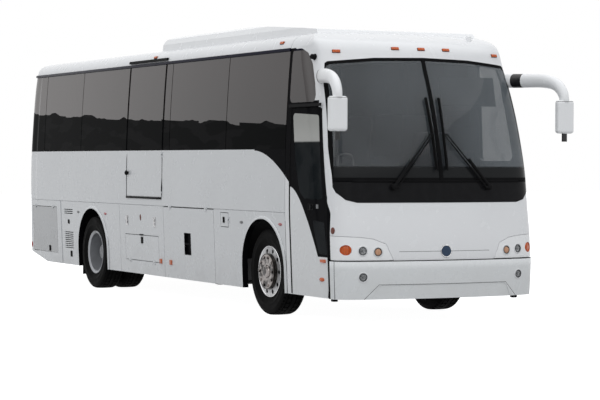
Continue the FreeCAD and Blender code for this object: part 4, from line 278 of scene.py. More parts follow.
# Painted shade: the walls, doors, flaps and bumper take darker copies of the one white; painted light: the
# lamp panels and the fairing take brighter ones.
WALL_WHITE_SHADED = (0.675, 0.69, 0.705)
DOOR_WHITE_SHADED = (0.745, 0.76, 0.77)
FLAP_WHITE_SHADED = (0.44, 0.45, 0.46)
BUMPER_WHITE_SHADED = (0.735, 0.755, 0.765)
BUMPER_PAINTED_HIGHLIGHT = (0.92, 0.94, 0.95)
LAMP_PANEL_WHITE_LIT = (0.87, 0.88, 0.89)
FAIRING_WHITE_LIT = (0.90, 0.91, 0.92)
HEADLINING = (0.42, 0.42, 0.41)
ROAD_FILM = (0.60, 0.59, 0.57)
GLOSS_BLACK = (0.005, 0.005, 0.006)
BLACK_GLOSS = 0.005
MODULE_JOINT = FRONT_AXLE + 0.594
ARCH_EDGE = 0.60
ARCH_LIP = 1.288
HUB_HEIGHT = 0.505
LAMINATE = (0.20, 0.20, 0.205)
SWOOSH_START = FRONT_AXLE - 0.225
SWOOSH_LENGTH = 0.92
SWOOSH_TOP = 1.902
SWOOSH_DROP = 0.352
SWOOSH_CURVE = 1.8
SWOOSH_END = FRONT_AXLE + 0.80
QUARTER_CORNER = 0.14
DOOR_HEAD = (2.36, 2.45)
DOOR_HEAD_END = FRONT_AXLE + 1.37
DOOR_SIDE = -1.10
DOOR_CURVE_START = FRONT_AXLE + 0.725
DOOR_CURVE_LENGTH = 0.664
DOOR_CURVE_TOP = 1.496
DOOR_CURVE_DROP = 0.761
DOOR_CURVE = 1.7
DRIVER_CORNER = 0.115
GRIP_ALONG = (FRONT_AXLE - 2.318, FRONT_AXLE - 2.107)
GRIP_HEIGHT = (0.602, 0.878)
NOSE_GASKET = (FRONT_AXLE + 1.58, FRONT_AXLE + 1.692)
NOSE_GASKET_BEND = (1.20, 1.36)
NOSE_GASKET_LEAN = 0.065
NOSE_GASKET_SIDE = -1.02
NOSE_GASKET_TOP = 1.40
BUMPER_END_JOINT = FRONT_AXLE + 1.772
BUMPER_STEP = 0.447
BUMPER_STEP_HALF = 0.80
BUMPER_SEAM = 0.6985
BADGE_HEIGHT = 0.803
CREASE_HALF = 0.57
SCREEN_FOOT = (1.50, 1.66)
SCREEN_FOOT_HALF = 1.235
NOSE_FACE = FRONT_AXLE + 1.45
LOUVRE_HALF = 0.585
LOUVRE_HEIGHT = (0.878, 1.283)


def swoosh(finish):
    """Black paint on the right side that sweeps down from the glass line to the entry door."""
    along, across, height = finish.axes()
    edge = SWOOSH_TOP - (along.stretch(SWOOSH_START, SWOOSH_LENGTH) ** SWOOSH_CURVE) * SWOOSH_DROP
    sweep = height.between(edge, GLASS_FOOT + 0.02) * (across < 0) * along.between(SWOOSH_START, SWOOSH_END)
    corner = along.between(MODULE_JOINT, MODULE_JOINT + QUARTER_CORNER) * height.between(edge, CANTRAIL)
    over_door = along.between(MODULE_JOINT, DOOR_HEAD_END) * height.between(*DOOR_HEAD) * (across < DOOR_SIDE)
    return sweep + corner + over_door


def rebate(finish):
    """Black adhesive in the glazing rebate between the panes."""
    return finish.height().between(GLASS_FOOT, CANTRAIL - 0.004)


def rebate_corner(finish):
    """Black between the last side pane and the driver's window."""
    along, across, height = finish.axes()
    beside = (along < MODULE_JOINT + DRIVER_CORNER) * (across > -DOOR_SIDE)
    return beside * height.between(GLASS_FOOT, CANTRAIL)


def door_curve(finish):
    """Black of the entry door down to the curve that carries the sweep on."""
    along, height = finish.axes("XZ")
    fall = (along.stretch(DOOR_CURVE_START, DOOR_CURVE_LENGTH) ** DOOR_CURVE) * DOOR_CURVE_DROP
    return height > DOOR_CURVE_TOP - fall


def grip_well(finish):
    """The black moulded lining of the luggage doors' hand recess."""
    along, height = finish.axes("XZ")
    return along.between(*GRIP_ALONG) * height.between(*GRIP_HEIGHT)


def arch_return_shade(finish):
    """Painted shade: the turned-in edges of the wheel arches, painted black."""
    along, across, height = finish.axes()
    reach = along - FRONT_AXLE + (along < 0) * WHEELBASE
    turned_in = (finish.facing("Y").size() < 0.5) * (across.size() < ARCH_LIP)
    return turned_in * (reach.size() < ARCH_EDGE) * (height < HUB_HEIGHT + ARCH_EDGE)


def door_seal(finish):
    """The broad black gasket between the entry door and the nose."""
    along, across, height = finish.axes()
    front = NOSE_GASKET[1] - height.kept(*NOSE_GASKET_BEND) * NOSE_GASKET_LEAN
    beside = (across < NOSE_GASKET_SIDE) * (height < NOSE_GASKET_TOP)
    return along.between(NOSE_GASKET[0], front) * beside


def bumper_lines(finish):
    """Painted shadow lines of the bumper: its end joints and the edge of the raised step, with the joint
    along its top and painted shade on its top faces in the gap under the mask.
    """
    along, across, height = finish.axes()
    wide = across.size()
    ends = along.near(BUMPER_END_JOINT, 0.0035) * (wide > 1.1) * (height < 0.70)
    top = height.near(BUMPER_STEP, 0.0022) * (wide < BUMPER_STEP_HALF)
    slants = (wide + height).near(BUMPER_STEP + BUMPER_STEP_HALF + 0.002, 0.0032)
    slants = slants * (height < BUMPER_STEP + 0.002) * (wide > BUMPER_STEP_HALF - 0.01)
    # Above the seam height the bumper's top is painted black as a joint line; its faces that look up under
    # the mask are painted black as painted shade.
    seam = (height > BUMPER_SEAM) + (finish.facing("Z") > 0.85) * (height > 0.66)
    return (ends + top + slants) * 0.8 + seam + door_seal(finish)


def mask_lines(finish):
    """The crease on both sides of the badge as a painted shadow line, the screen's foot and the door's wide
    front gasket.
    """
    along, across, height = finish.axes()
    # Painted shadow line along the badge crease.
    crease = height.near(BADGE_HEIGHT, 0.0025) * (across.size() < CREASE_HALF) * (along > FRONT_AXLE + 1.7)
    foot = height.between(*SCREEN_FOOT) * (across.size() < SCREEN_FOOT_HALF) * (along > NOSE_FACE)
    return crease * 0.6 + foot + door_seal(finish)


def louvre_opening_shade(finish):
    """Painted shade: the engine lid painted black behind its slats, where the opening would show dark."""
    across, height = finish.axes("YZ")
    return (across.size() < LOUVRE_HALF) * height.between(*LOUVRE_HEIGHT)


def paint(name, blacks=(), inner_axis="Y", lining=LAMINATE, white=WHITE_PAINT, crown=None):
    """White paint with any black areas, a painted highlight band where a crown colour is given, and laminate
    on faces that look inwards.
    """
    finish = Finish(name)
    height = finish.height()
    film = height.kept(0.9, 0.25) * finish.noise(4, 6, 0.6).kept(0.3, 0.75)
    tone = finish.mix(finish.noise(1.1, 3).kept(0.3, 0.7), white, toned(white, 0.97))
    # A crown colour is a painted highlight: the band just under the bumper's rounded top is painted brighter.
    if crown:
        tone = finish.mix(height.kept(0.60, 0.685), tone, crown)
    colour = finish.mix(film * 0.22, tone, ROAD_FILM)
    if blacks:
        dark = sum(black(finish) for black in blacks).kept(0, 1)
        colour = finish.mix(dark, colour, GLOSS_BLACK)
    if inner_axis == "Z":
        inward = finish.facing("Z") < -0.3
    else:
        inward = finish.facing(inner_axis) * finish.axes(inner_axis)[0] < -0.25
    colour = finish.mix(inward, colour, lining)
    rough = 0.2 + finish.noise(9, 4).kept(0.35, 0.7) * 0.08 + film * 0.25
    peel = finish.bump(finish.noise(160, 2), 0.00005)
    light = finish.principled(Base_Color=colour, Roughness=rough, Normal=peel)
    if not blacks:
        return finish.closed(light)
    gloom = finish.principled(Base_Color=GLOSS_BLACK, Roughness=rough, Normal=peel,
                              Specular_IOR_Level=BLACK_GLOSS)
    return finish.blended(dark, light, gloom)


def wear(material, *names):
    """Puts a material on CAD nodes."""
    for name in names:
        nodes[name].data.materials.clear()
        nodes[name].data.materials.append(material)


# Walls, lower panels, doors, flaps and bumper wear the shaded copies of the white, the lamp panels and the
# roof fairing the lit ones.
wear(paint("side_paint_shaded", (swoosh, rebate), white=WALL_WHITE_SHADED),
     "side_wall_right", "side_wall_left", "lift_door")
wear(paint("lower_panel_paint_shaded", (grip_well, arch_return_shade), white=WALL_WHITE_SHADED),
     "skirt_panels", "luggage_door_right", "luggage_door_left", "lift_compartment_lid", "fuel_flap")
wear(paint("flap_paint_shaded", white=FLAP_WHITE_SHADED), "rear_flap_right", "rear_flap_left")
wear(paint("mask_paint", (swoosh, mask_lines, rebate_corner), "X"), "front_mask")
wear(paint("bumper_paint_shaded", (bumper_lines,), "X", white=BUMPER_WHITE_SHADED, crown=BUMPER_PAINTED_HIGHLIGHT), "front_bumper")
wear(paint("lamp_panel_paint_lit", (door_seal,), "X", white=LAMP_PANEL_WHITE_LIT), "lamp_panels")
wear(paint("end_paint", (), "X"), "rear_cap", "rear_bumper")
wear(paint("engine_lid_paint", (louvre_opening_shade,), "X"), "engine_lid")
wear(paint("roof_paint", (), "Z", HEADLINING), "roof")
wear(paint("fairing_paint_lit", (), "Z", white=FAIRING_WHITE_LIT), "roof_fairing")
wear(paint("door_paint_shaded", (door_curve,), white=DOOR_WHITE_SHADED), "entry_door")

# Side glazing: flush bonded privacy glass with a painted reflection, brown-grey for the sky and near black
# below a painted horizon for the yard, with a blue-black ceramic band along its top edge.
GLASS_PAINTED_SKY = (0.010, 0.004, 0.004)
GLASS_PAINTED_SKY_HIGH = (0.020, 0.011, 0.011)
GLASS_PAINTED_SKY_REAR = (0.092, 0.078, 0.075)
GLASS_PAINTED_GROUND = (0.003, 0.0033, 0.0036)
GLASS_PAINTED_GROUND_PALE = (0.0075, 0.0075, 0.008)
GLASS_BAND = (0.006, 0.006, 0.016)
PAINTED_HORIZON = 2.17
PAINTED_HORIZON_RISE = 0.035
GLASS_BAND_FOOT = 3.018
CAB_GLASS = FRONT_AXLE + 0.64


def privacy_glass():
    """Side glass with a painted reflection of a line of roofs and trees, clearer beside the driver."""
    finish = Finish("privacy_glass")
    along, across, height = finish.axes()
    # A painted horizon of rooftops and tree tops splits the painted sky reflection from the painted yard
    # reflection.
    plots = finish.node("ShaderNodeMath", {"operation": "FLOOR"}, {0: along * 0.83})
    roofs = finish.node("ShaderNodeTexWhiteNoise", {"noise_dimensions": "1D"}, {"W": plots}) * 0.05
    trees = finish.noise(0.9, 3, 0.5, (1, 0, 0)).kept(0.45, 0.62, 0, 0.05)
    over = height - (PAINTED_HORIZON - (along - FRONT_AXLE) * PAINTED_HORIZON_RISE + roofs + trees)
    tone = finish.mix(over.kept(0, 0.7), GLASS_PAINTED_SKY, GLASS_PAINTED_SKY_HIGH)
    tone = finish.mix((along - FRONT_AXLE).kept(0.6, -8), tone, GLASS_PAINTED_SKY_REAR)
    ripple = finish.bump(finish.noise(1.5, 2), 0.0012)
    cab = (across > 0) * (along > CAB_GLASS)
    bright = finish.principled(Base_Color=tone, Roughness=0.04, Normal=ripple, Alpha=0.97 - cab * 0.6,
                               Specular_IOR_Level=0.4)
    # Painted reflection of the yard below the horizon: pale patches on near black.
    painted_yard_shapes = finish.noise(2.2, 2, 0.4, (0.6, 0, 2.5)).kept(0.52, 0.56)
    tone = finish.mix(painted_yard_shapes, GLASS_PAINTED_GROUND, GLASS_PAINTED_GROUND_PALE)
    tone = finish.mix(height > GLASS_BAND_FOOT, tone, GLASS_BAND)
    dark = finish.principled(Base_Color=tone, Roughness=0.12, Specular_IOR_Level=BLACK_GLOSS)
    gloom = (over < 0) * (1 - cab) + (height > GLASS_BAND_FOOT)
    return finish.blended(gloom.kept(0, 1), bright, dark)


wear(privacy_glass(), "body_windows", "lift_door_glass")

# Windshield and door glass: laminated and lightly tinted, over a black printed band along the
# windshield's foot, with painted reflection and shade in their colour. The door's tall pane is painted
# pale in its upper half for the sky seen through it, and near black below as painted shade.
SCREEN_TINT = (0.070, 0.080, 0.088)
SCREEN_FOOT_PAINTED_SHADE = (0.040, 0.045, 0.050)
SCREEN_FAR_SIDE_PAINTED_REFLECTION = 2.4
SCREEN_PAINTED_SHADE_SPAN = (1.7, 2.7)
SCREEN_BAND = (0.012, 0.013, 0.014)
SCREEN_BAND_TOP = 1.725
SCREEN_BAND_FADE = 0.012
SCREEN_CLEARNESS = 0.55
PANE_PAINTED_SKY_LOW = (0.46, 0.46, 0.44)
PANE_PAINTED_SKY_HIGH = (0.38, 0.385, 0.36)
PANE_PAINTED_SKY_EDGE = (1.985, 2.01)
PANE_PAINTED_SHADE = (0.010, 0.013, 0.015)
PANE_PAINTED_SHADE_FOOT = (0.022, 0.024, 0.026)
PANE_PAINTED_HAZE = (0.028, 0.031, 0.033)


def screen_glass():
    """Tinted glass, darker below as painted shade and paler on its far side as a painted reflection."""
    finish = Finish("windshield_glass")
    across, height = finish.axes("YZ")
    tone = finish.mix(height.kept(*SCREEN_PAINTED_SHADE_SPAN), SCREEN_FOOT_PAINTED_SHADE, SCREEN_TINT)
    painted_reflection_cloud = finish.noise(1.3, 3).kept(0.35, 0.65)
    tone = finish.mix(across.kept(-0.2, 1.2) * 0.75 + painted_reflection_cloud * 0.25, tone, toned(SCREEN_TINT, SCREEN_FAR_SIDE_PAINTED_REFLECTION))
    clear = finish.principled(Base_Color=tone, Roughness=0.03, Alpha=SCREEN_CLEARNESS,
                              Specular_IOR_Level=0.32, Normal=finish.bump(finish.noise(1.2, 2), 0.0008))
    dark = finish.principled(Base_Color=SCREEN_BAND, Roughness=0.2, Specular_IOR_Level=0.1)
    band = height.kept(SCREEN_BAND_TOP + SCREEN_BAND_FADE, SCREEN_BAND_TOP - SCREEN_BAND_FADE)
    return finish.blended(band, clear, dark)


def door_pane():
    """Door glass painted pale where the sky shows through it, as painted light, and near black below as
    painted shade, with a painted haze of reflection.
    """
    finish = Finish("door_glass")
    height = finish.height()
    tone = finish.mix(height.kept(2.0, 2.25), PANE_PAINTED_SKY_LOW, PANE_PAINTED_SKY_HIGH)
    bright = finish.principled(Base_Color=tone, Roughness=0.05, Alpha=0.9, Specular_IOR_Level=0.2)
    haze = finish.noise(3, 3).kept(0.45, 0.6)
    lower = finish.mix(height.kept(1.35, 1.0), PANE_PAINTED_SHADE, PANE_PAINTED_SHADE_FOOT)
    dark = finish.principled(Base_Color=finish.mix(haze * 0.6, lower, PANE_PAINTED_HAZE), Roughness=0.06,
                             Specular_IOR_Level=BLACK_GLOSS, Alpha=0.9)
    return finish.blended(height.kept(*PANE_PAINTED_SKY_EDGE), dark, bright)


wear(screen_glass(), "windshield")
wear(door_pane(), "entry_door_glass")

# Rubber, black plastic and black lacquer: the screen seal, wipers, rails, liners and the panel under
# the windshield that the wiper spindles stand in.
RUBBER_BLACK = (0.006, 0.006, 0.0065)
TRIM_BLACK = (0.008, 0.008, 0.0085)
PANEL_BLACK = (0.0095, 0.0095, 0.0105)


def rubber(name, colour=RUBBER_BLACK, rough=0.62, grain=420, depth=0.0003):
    """Moulded rubber or grained plastic with a little grey dust."""
    finish = Finish(name)
    dust = finish.noise(7, 5, 0.6).kept(0.45, 0.8) * 0.2
    return finish.surface(Base_Color=finish.mix(dust, colour, toned(colour, 2, 0.004)),
                          Roughness=rough + finish.noise(20, 3) * 0.12, Specular_IOR_Level=0.03,
                          Normal=finish.bump(finish.noise(grain, 2), depth))


def lacquer(name, colour, rough=0.12):
    """Gloss lacquer over a smooth moulding."""
    finish = Finish(name)
    haze = finish.noise(12, 4).kept(0.3, 0.8)
    return finish.surface(Base_Color=finish.mix(haze * 0.3, colour, toned(colour, 1.5, 0.003)),
                          Roughness=rough + haze * 0.07, Normal=finish.bump(finish.noise(120, 2), 0.0002),
                          Specular_IOR_Level=0.06)


seal_rubber = rubber("seal_rubber")
trim_black = rubber("trim_black", TRIM_BLACK, 0.45, 300)
wear(seal_rubber, "windshield_seal")
wear(lacquer("panel_lacquer", PANEL_BLACK, 0.16), "wiper_panel")
wear(trim_black, "drip_rails", "wipers", "wheel_housings")


def picked(piece):
    """Selects one piece alone and makes it the active one."""
    bpy.ops.object.select_all(action="DESELECT")
    piece.select_set(True)
    bpy.context.view_layer.objects.active = piece


def begin(name, kind, **where):
    """Adds one primitive with nothing else selected, and puts its place and size in its mesh."""
    bpy.ops.object.select_all(action="DESELECT")
    getattr(bpy.ops.mesh, "primitive_%s_add" % kind)(**where)
    piece = bpy.context.object
    piece.name = piece.data.name = name
    bpy.ops.object.transform_apply(location=True, rotation=True, scale=True)
    return piece


def choose(piece, test):
    """Opens the mesh with only those faces selected for which the test of middle and normal holds."""
    picked(piece)
    bpy.ops.object.mode_set(mode="EDIT")
    bpy.ops.mesh.select_mode(type="FACE")
    bpy.ops.mesh.select_all(action="DESELECT")
    mesh = bmesh.from_edit_mesh(piece.data)
    for face in mesh.faces:
        face.select_set(bool(test(face.calc_center_median(), face.normal)))
    bmesh.update_edit_mesh(piece.data)


def close():
    """Leaves the mesh."""
    bpy.ops.object.mode_set(mode="OBJECT")


def apply(piece, kind, **settings):
    """Adds one modifier and applies it."""
    picked(piece)
    modifier = piece.modifiers.new(kind.lower(), kind)
    for key, value in settings.items():
        setattr(modifier, key, value)
    bpy.ops.object.modifier_apply(modifier=modifier.name)
    return piece


def rounded(piece, width, segments=3):
    """Rounds every sharp edge."""
    return apply(piece, "BEVEL", width=width, segments=segments, limit_method="ANGLE")


def turned(name, profile, steps=48, closed=False):
    """Spins a profile of (radius, height) points round the Z axis."""
    bpy.ops.object.select_all(action="DESELECT")
    bpy.ops.mesh.primitive_plane_add(size=1)
    piece = bpy.context.object
    piece.name = piece.data.name = name
    bpy.ops.object.mode_set(mode="EDIT")
    mesh = bmesh.from_edit_mesh(piece.data)
    mesh.clear()
    points = [mesh.verts.new((radius, 0, height)) for radius, height in profile]
    pairs = list(zip(points, points[1:]))
    if closed:
        pairs.append((points[-1], points[0]))
    for pair in pairs:
        mesh.edges.new(pair)
    bmesh.update_edit_mesh(piece.data)
    bpy.ops.mesh.select_all(action="SELECT")
    bpy.ops.mesh.spin(steps=steps, angle=2 * math.pi, center=(0, 0, 0), axis=(0, 0, 1))
    bpy.ops.mesh.select_all(action="SELECT")
    bpy.ops.mesh.remove_doubles(threshold=0.00001)
    bpy.ops.mesh.normals_make_consistent(inside=False)
    close()
    return piece


def placed(piece, matrix):
    """Moves a piece's mesh; its object stays at the origin."""
    piece.data.transform(matrix)
    return piece


def copied(piece, name, matrix):
    """A copy with its own mesh at another place."""
    other = piece.copy()
    other.data = piece.data.copy()
    other.name = other.data.name = name
    bpy.context.scene.collection.objects.link(other)
    return placed(other, matrix)


def joined(name, pieces):
    """Several pieces as one object."""
    bpy.ops.object.select_all(action="DESELECT")
    for piece in pieces:
        piece.select_set(True)
    bpy.context.view_layer.objects.active = pieces[0]
    bpy.ops.object.join()
    pieces[0].name = pieces[0].data.name = name
    return pieces[0]


def dressed(piece, material, body="root", angle=35):
    """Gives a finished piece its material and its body."""
    picked(piece)
    bpy.ops.object.shade_smooth_by_angle(angle=math.radians(angle))
    piece.data.materials.clear()
    piece.data.materials.append(material)
    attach(piece, body)
    return piece


def lathe(name, profile, matrix, material, body="root", steps=48, closed=False):
    """A turned piece, set in its place and dressed."""
    return dressed(placed(turned(name, profile, steps, closed), matrix), material, body)


def sunk(piece, side, *steps):
    """Insets the faces that look to one side, once for each (margin, depth)."""
    choose(piece, side)
    for margin, depth in steps:
        bpy.ops.mesh.inset(thickness=margin, depth=depth)
    close()
    return piece


def top(middle, normal):
    """Faces that look up, or outwards before a piece is set on the skin."""
    return normal.z > 0.9


def bottom(middle, normal):
    """Faces that look down."""
    return normal.z < -0.9


def back(middle, normal):
    """Faces that look to the rear."""
    return normal.x < -0.9


def box(name, x0, x1, y0, y1, z0, z1):
    """A block between two corners, ready to be shaped."""
    return begin(name, "cube", size=1, location=((x0 + x1) / 2, (y0 + y1) / 2, (z0 + z1) / 2),
                 scale=(x1 - x0, y1 - y0, z1 - z0))


def bead(name, points, radius, ring=2, order=2):
    """A round bead through a line of points, drawn smooth where the order is over 2, as a mesh."""
    curve = bpy.data.curves.new(name, "CURVE")
    curve.dimensions = "3D"
    curve.bevel_depth = radius
    curve.bevel_resolution = ring
    curve.use_fill_caps = True
    spline = curve.splines.new("POLY" if order == 2 else "NURBS")
    spline.points.add(len(points) - 1)
    for point, where in zip(spline.points, points):
        point.co = (*where, 1)
    if order > 2:
        spline.order_u = order
        spline.use_endpoint_u = True
        spline.resolution_u = 6
    piece = bpy.data.objects.new(name, curve)
    bpy.context.scene.collection.objects.link(piece)
    picked(piece)
    bpy.ops.object.convert(target="MESH")
    return bpy.context.object


UPRIGHT = Vector((0, 0, 1))


def frame_of(across, upward, outward):
    """The turn that brings X, Y and Z to three directions."""
    return Matrix((across, upward, outward)).transposed().to_4x4()


def seat_on(names, start, way, out=0.0):
    """A frame on the skin: Z along its normal, Y upwards, at the first hit from a point along a way."""
    start, way = Vector(start), Vector(way)
    casts = [nodes[name].ray_cast(start, way) for name in names]
    hits = [(where, normal) for hit, where, normal, index in casts if hit]
    where, normal = min(hits, key=lambda found: (found[0] - start).length)
    if normal.dot(way) > 0:
        normal = -normal
    across = UPRIGHT.cross(normal)
    across = Vector((1, 0, 0)) if across.length < 0.01 else across.normalized()
    return Matrix.Translation(where + normal * out) @ frame_of(across, normal.cross(across), normal)


def on_side(x, z, side, names, out=0.0):
    """A frame on a side wall, x measured from the front axle."""
    return seat_on(names, (FRONT_AXLE + x, side * 1.7, z), (0, -side, 0), out)


def on_nose(y, z, names, out=0.0):
    """A frame on the front."""
    return seat_on(names, (FRONT_AXLE + 2.6, y, z), (-1, 0, 0), out)


# Black rubber in the joints: the gasket beads round the entry door, the lift door's frame with its
# sill strip, and the gutter moulding over the glass.
SIDES = (("right", -1), ("left", 1))
LOWER_NODES = ["skirt_panels", "side_wall_right", "side_wall_left", "front_mask", "entry_door", "rear_cap"]
DOOR_NODES = ["front_mask", "entry_door", "side_wall_right", "skirt_panels", "front_bumper"]
LIFT_REAR, LIFT_FRONT = -4.235, -3.035
LIFT_SEAL = (1.312, 3.045)
LIFT_SILL = (1.284, 1.310)
DOOR_SEAL_REAR = [(0.7175, 0.30), (0.7175, 2.36)]
DOOR_SEAL_FRONT = [(1.650, 0.30), (1.613, 1.36), (1.425, 2.36)]
GUTTER_OUT = 1.206
GUTTER_HALF = 0.007
BEAD_STEP = 0.12
gutter_lacquer = lacquer("gutter_lacquer", (0.008, 0.008, 0.020), 0.3)
for word, side in SIDES:
    gutter = box("gutter_moulding_" + word, FRONT_AXLE - 8.09, FRONT_AXLE + 0.59,
                 side * GUTTER_OUT - GUTTER_HALF, side * GUTTER_OUT + GUTTER_HALF, 3.024, 3.058)
    choose(gutter, top)
    bpy.ops.transform.translate(value=(0, -side * 0.003, 0))
    close()
    rounded(gutter, 0.004)
    dressed(gutter, gutter_lacquer)


def edge_bead(name, path, names, radius, sink):
    """A rubber bead laid along the right side's skin through (x, z) points."""
    points = []
    for (x0, z0), (x1, z1) in zip(path, path[1:]):
        count = max(2, round(math.hypot(x1 - x0, z1 - z0) / BEAD_STEP))
        points += [(x0 + (x1 - x0) * k / count, z0 + (z1 - z0) * k / count) for k in range(count)]
    points.append(path[-1])
    line = [on_side(x, z, -1, names, -sink).translation for x, z in points]
    return dressed(bead(name, line, radius), seal_rubber, "root")


edge_bead("door_gasket_rear", DOOR_SEAL_REAR, DOOR_NODES, 0.020, 0.012)
edge_bead("door_gasket_front", DOOR_SEAL_FRONT, DOOR_NODES, 0.017, 0.010)
edge_bead("lift_door_gasket", [(LIFT_REAR - 0.008, z) for z in LIFT_SEAL], LOWER_NODES, 0.008, 0.003)
edge_bead("lift_door_gasket_front", [(LIFT_FRONT + 0.024, z) for z in LIFT_SEAL], LOWER_NODES, 0.008, 0.004)
sill = box("lift_door_sill", FRONT_AXLE + LIFT_REAR - 0.01, FRONT_AXLE + LIFT_FRONT + 0.01, -1.284, -1.268,
           *LIFT_SILL)
dressed(rounded(sill, 0.005), trim_black)

# Lamps in the nose: a white bezel with a dark ring of painted shadow for the recessed rim, a polished bowl
# with its bulb and a ribbed lens, three in each lamp panel and one in the bumper below. The outer one of
# three is the amber indicator.
LAMP_PLACES = [(1.156, 0.823, 0.056, "amber"), (0.983, 0.813, 0.050, "beam"), (0.813, 0.802, 0.050, "copper"),
               (0.983, 0.530, 0.050, "fog")]
LAMP_STEPS = 40
BESIDE_LAMP = 0.066


def plated(name, colour, rough=0.06, deep=0.6):
    """Bright metal whose colour is a painted reflection, darkened in patches to the tone of what it mirrors.
    """
    finish = Finish(name)
    smear = finish.noise(30, 4)
    shade = finish.mix(finish.noise(16, 3).kept(0.42, 0.58), colour, toned(colour, deep))
    return finish.surface(Base_Color=shade, Metallic=1.0, Roughness=rough + smear * 0.12,
                          Normal=finish.bump(finish.noise(90, 2), 0.0002))


def lens(name, colour, clearness):
    """Moulded lamp plastic with upright ribs behind a smooth face, painted in darker and lighter stripes
    along the ribs as painted light and shade.
    """
    finish = Finish(name)
    flutes = (finish.axes("Y")[0] * 260).wave()
    tone = finish.mix(flutes.kept(-1, 1) * 0.35, colour, toned(colour, 0.55))
    return finish.surface(Base_Color=tone, Roughness=0.1, Alpha=clearness, Specular_IOR_Level=0.4,
                          Normal=finish.bump(flutes, 0.0006))


bright_chrome = plated("bright_chrome", (0.70, 0.70, 0.71))
lamp_bowl = plated("lamp_bowl", (0.42, 0.43, 0.44), 0.12)
bezel_white = lacquer("bezel_white", (0.74, 0.75, 0.76), 0.2)
lamp_shadow_ring = lacquer("lamp_shadow_ring", (0.07, 0.075, 0.08), 0.25)
amber_lens = lens("amber_lens", (0.62, 0.10, 0.005), 0.97)
clear_lens = lens("clear_lens", (0.30, 0.31, 0.32), 0.35)
copper_lens = lens("copper_lens", (0.78, 0.43, 0.26), 0.7)
red_lens = lens("red_lens", (0.42, 0.018, 0.016), 0.98)
LAMP_LENSES = {"amber": amber_lens, "beam": clear_lens, "fog": clear_lens, "copper": copper_lens}


def nose_lamp(name, radius, kind, matrix):
    """One round lamp, modelled at the origin with +Z outwards and then set in its panel."""
    amber = amber_lens if kind == "amber" else None
    rim = lathe(name + "_bezel", [
        (radius + 0.008, -0.004), (radius + 0.008, 0.003), (radius + 0.004, 0.0065),
        (radius - 0.003, 0.005), (radius - 0.007, 0.000), (radius - 0.008, -0.006),
        (radius - 0.004, -0.010), (radius + 0.002, -0.008)],
        matrix, amber or bezel_white, "root", LAMP_STEPS, True)
    lathe(name + "_ring", [
        (radius - 0.0065, -0.006), (radius - 0.0065, 0.0065), (radius - 0.009, 0.009),
        (radius - 0.0125, 0.0075), (radius - 0.014, 0.002), (radius - 0.014, -0.006)],
        matrix, amber or lamp_shadow_ring, "root", LAMP_STEPS, True)
    lathe(name + "_bowl", [
        (0, -0.026), (radius * 0.3, -0.0255), (radius * 0.62, -0.021), (radius * 0.85, -0.012),
        (radius - 0.006, -0.003), (radius - 0.003, -0.005), (radius * 0.8, -0.018), (radius * 0.5, -0.0275),
        (0, -0.029)], matrix, lamp_bowl, "root", LAMP_STEPS)
    lathe(name + "_bulb", [(0, -0.006), (0.006, -0.008), (0.009, -0.014), (0.008, -0.020), (0.013, -0.024)],
          matrix, amber or trim_black, "root", 20)
    lathe(name + "_lens", [
        (0, 0.0085), (radius * 0.35, 0.0078), (radius * 0.6, 0.006), (radius - 0.0135, 0.003),
        (radius - 0.0135, 0.0), (radius * 0.5, 0.003), (0, 0.006)],
        matrix, LAMP_LENSES[kind], "root", LAMP_STEPS)
    return rim


first_lamp = None
for number, (y, z, radius, kind) in enumerate(LAMP_PLACES):
    for word, side in SIDES:
        carrier = ["front_bumper"] if kind == "fog" else ["lamp_panels"]
        around = [on_nose(side * (y + reach), z, carrier) for reach in (BESIDE_LAMP, -BESIDE_LAMP)]
        middle = (around[0].translation + around[1].translation) / 2
        normal = (around[0].to_3x3() @ UPRIGHT + around[1].to_3x3() @ UPRIGHT).normalized()
        across = UPRIGHT.cross(normal).normalized()
        place = Matrix.Translation(middle) @ frame_of(across, normal.cross(across), normal)
        lamp = nose_lamp("nose_lamp_%s_%d" % (word, number), radius, kind, place)
        first_lamp = first_lamp or lamp
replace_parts(first_lamp, "headlamps")

# Badge place in the middle of the nose: a bare slate-blue disc in a chrome ring, pressed onto the
# panel where the maker's sign would be.
badge_place = on_nose(0, BADGE_HEIGHT, ["front_mask"], 0.001)
lathe("badge_disc", [(0, 0.007), (0.045, 0.0065), (0.058, 0.004), (0.060, 0.0), (0, -0.001)],
      badge_place, lacquer("badge_lacquer", (0.045, 0.07, 0.115), 0.2))
lathe("badge_ring", [(0.059, 0.0), (0.060, 0.006), (0.064, 0.0085), (0.068, 0.006), (0.069, 0.0)],
      badge_place, bright_chrome, "root", closed=True)

# Marker lamps: moulded amber domes along the roof's edge and the brow, red at the rear. Each stands on
# a thin black gasket.
MARKERS = [("side", -8.178, 3.112, "red"), ("side", -3.46, 3.112, "amber"), ("side", 0.317, 3.112, "amber"),
           ("nose", -1.015, 2.976, "amber"), ("nose", -0.325, 3.018, "amber"), ("nose", 0, 3.018, "amber"),
           ("nose", 0.325, 3.018, "amber"), ("nose", 1.015, 2.976, "amber")]
MARKER_LIFT = 0.015


def marker(name, matrix, material):
    """A bevelled block drawn up to a dome, on a thin foot."""
    body = begin(name, "cube", size=1, location=(0, 0, 0.008), scale=(0.088, 0.032, 0.012))
    rounded(sunk(body, top, (0.009, 0.004), (0.004, -0.0015)), 0.003)
    foot = begin(name + "_foot", "cube", size=1, location=(0, 0, 0.0005), scale=(0.094, 0.038, 0.004))
    dressed(placed(rounded(foot, 0.0015, 2), matrix), trim_black)
    return dressed(placed(body, matrix), material, "root")


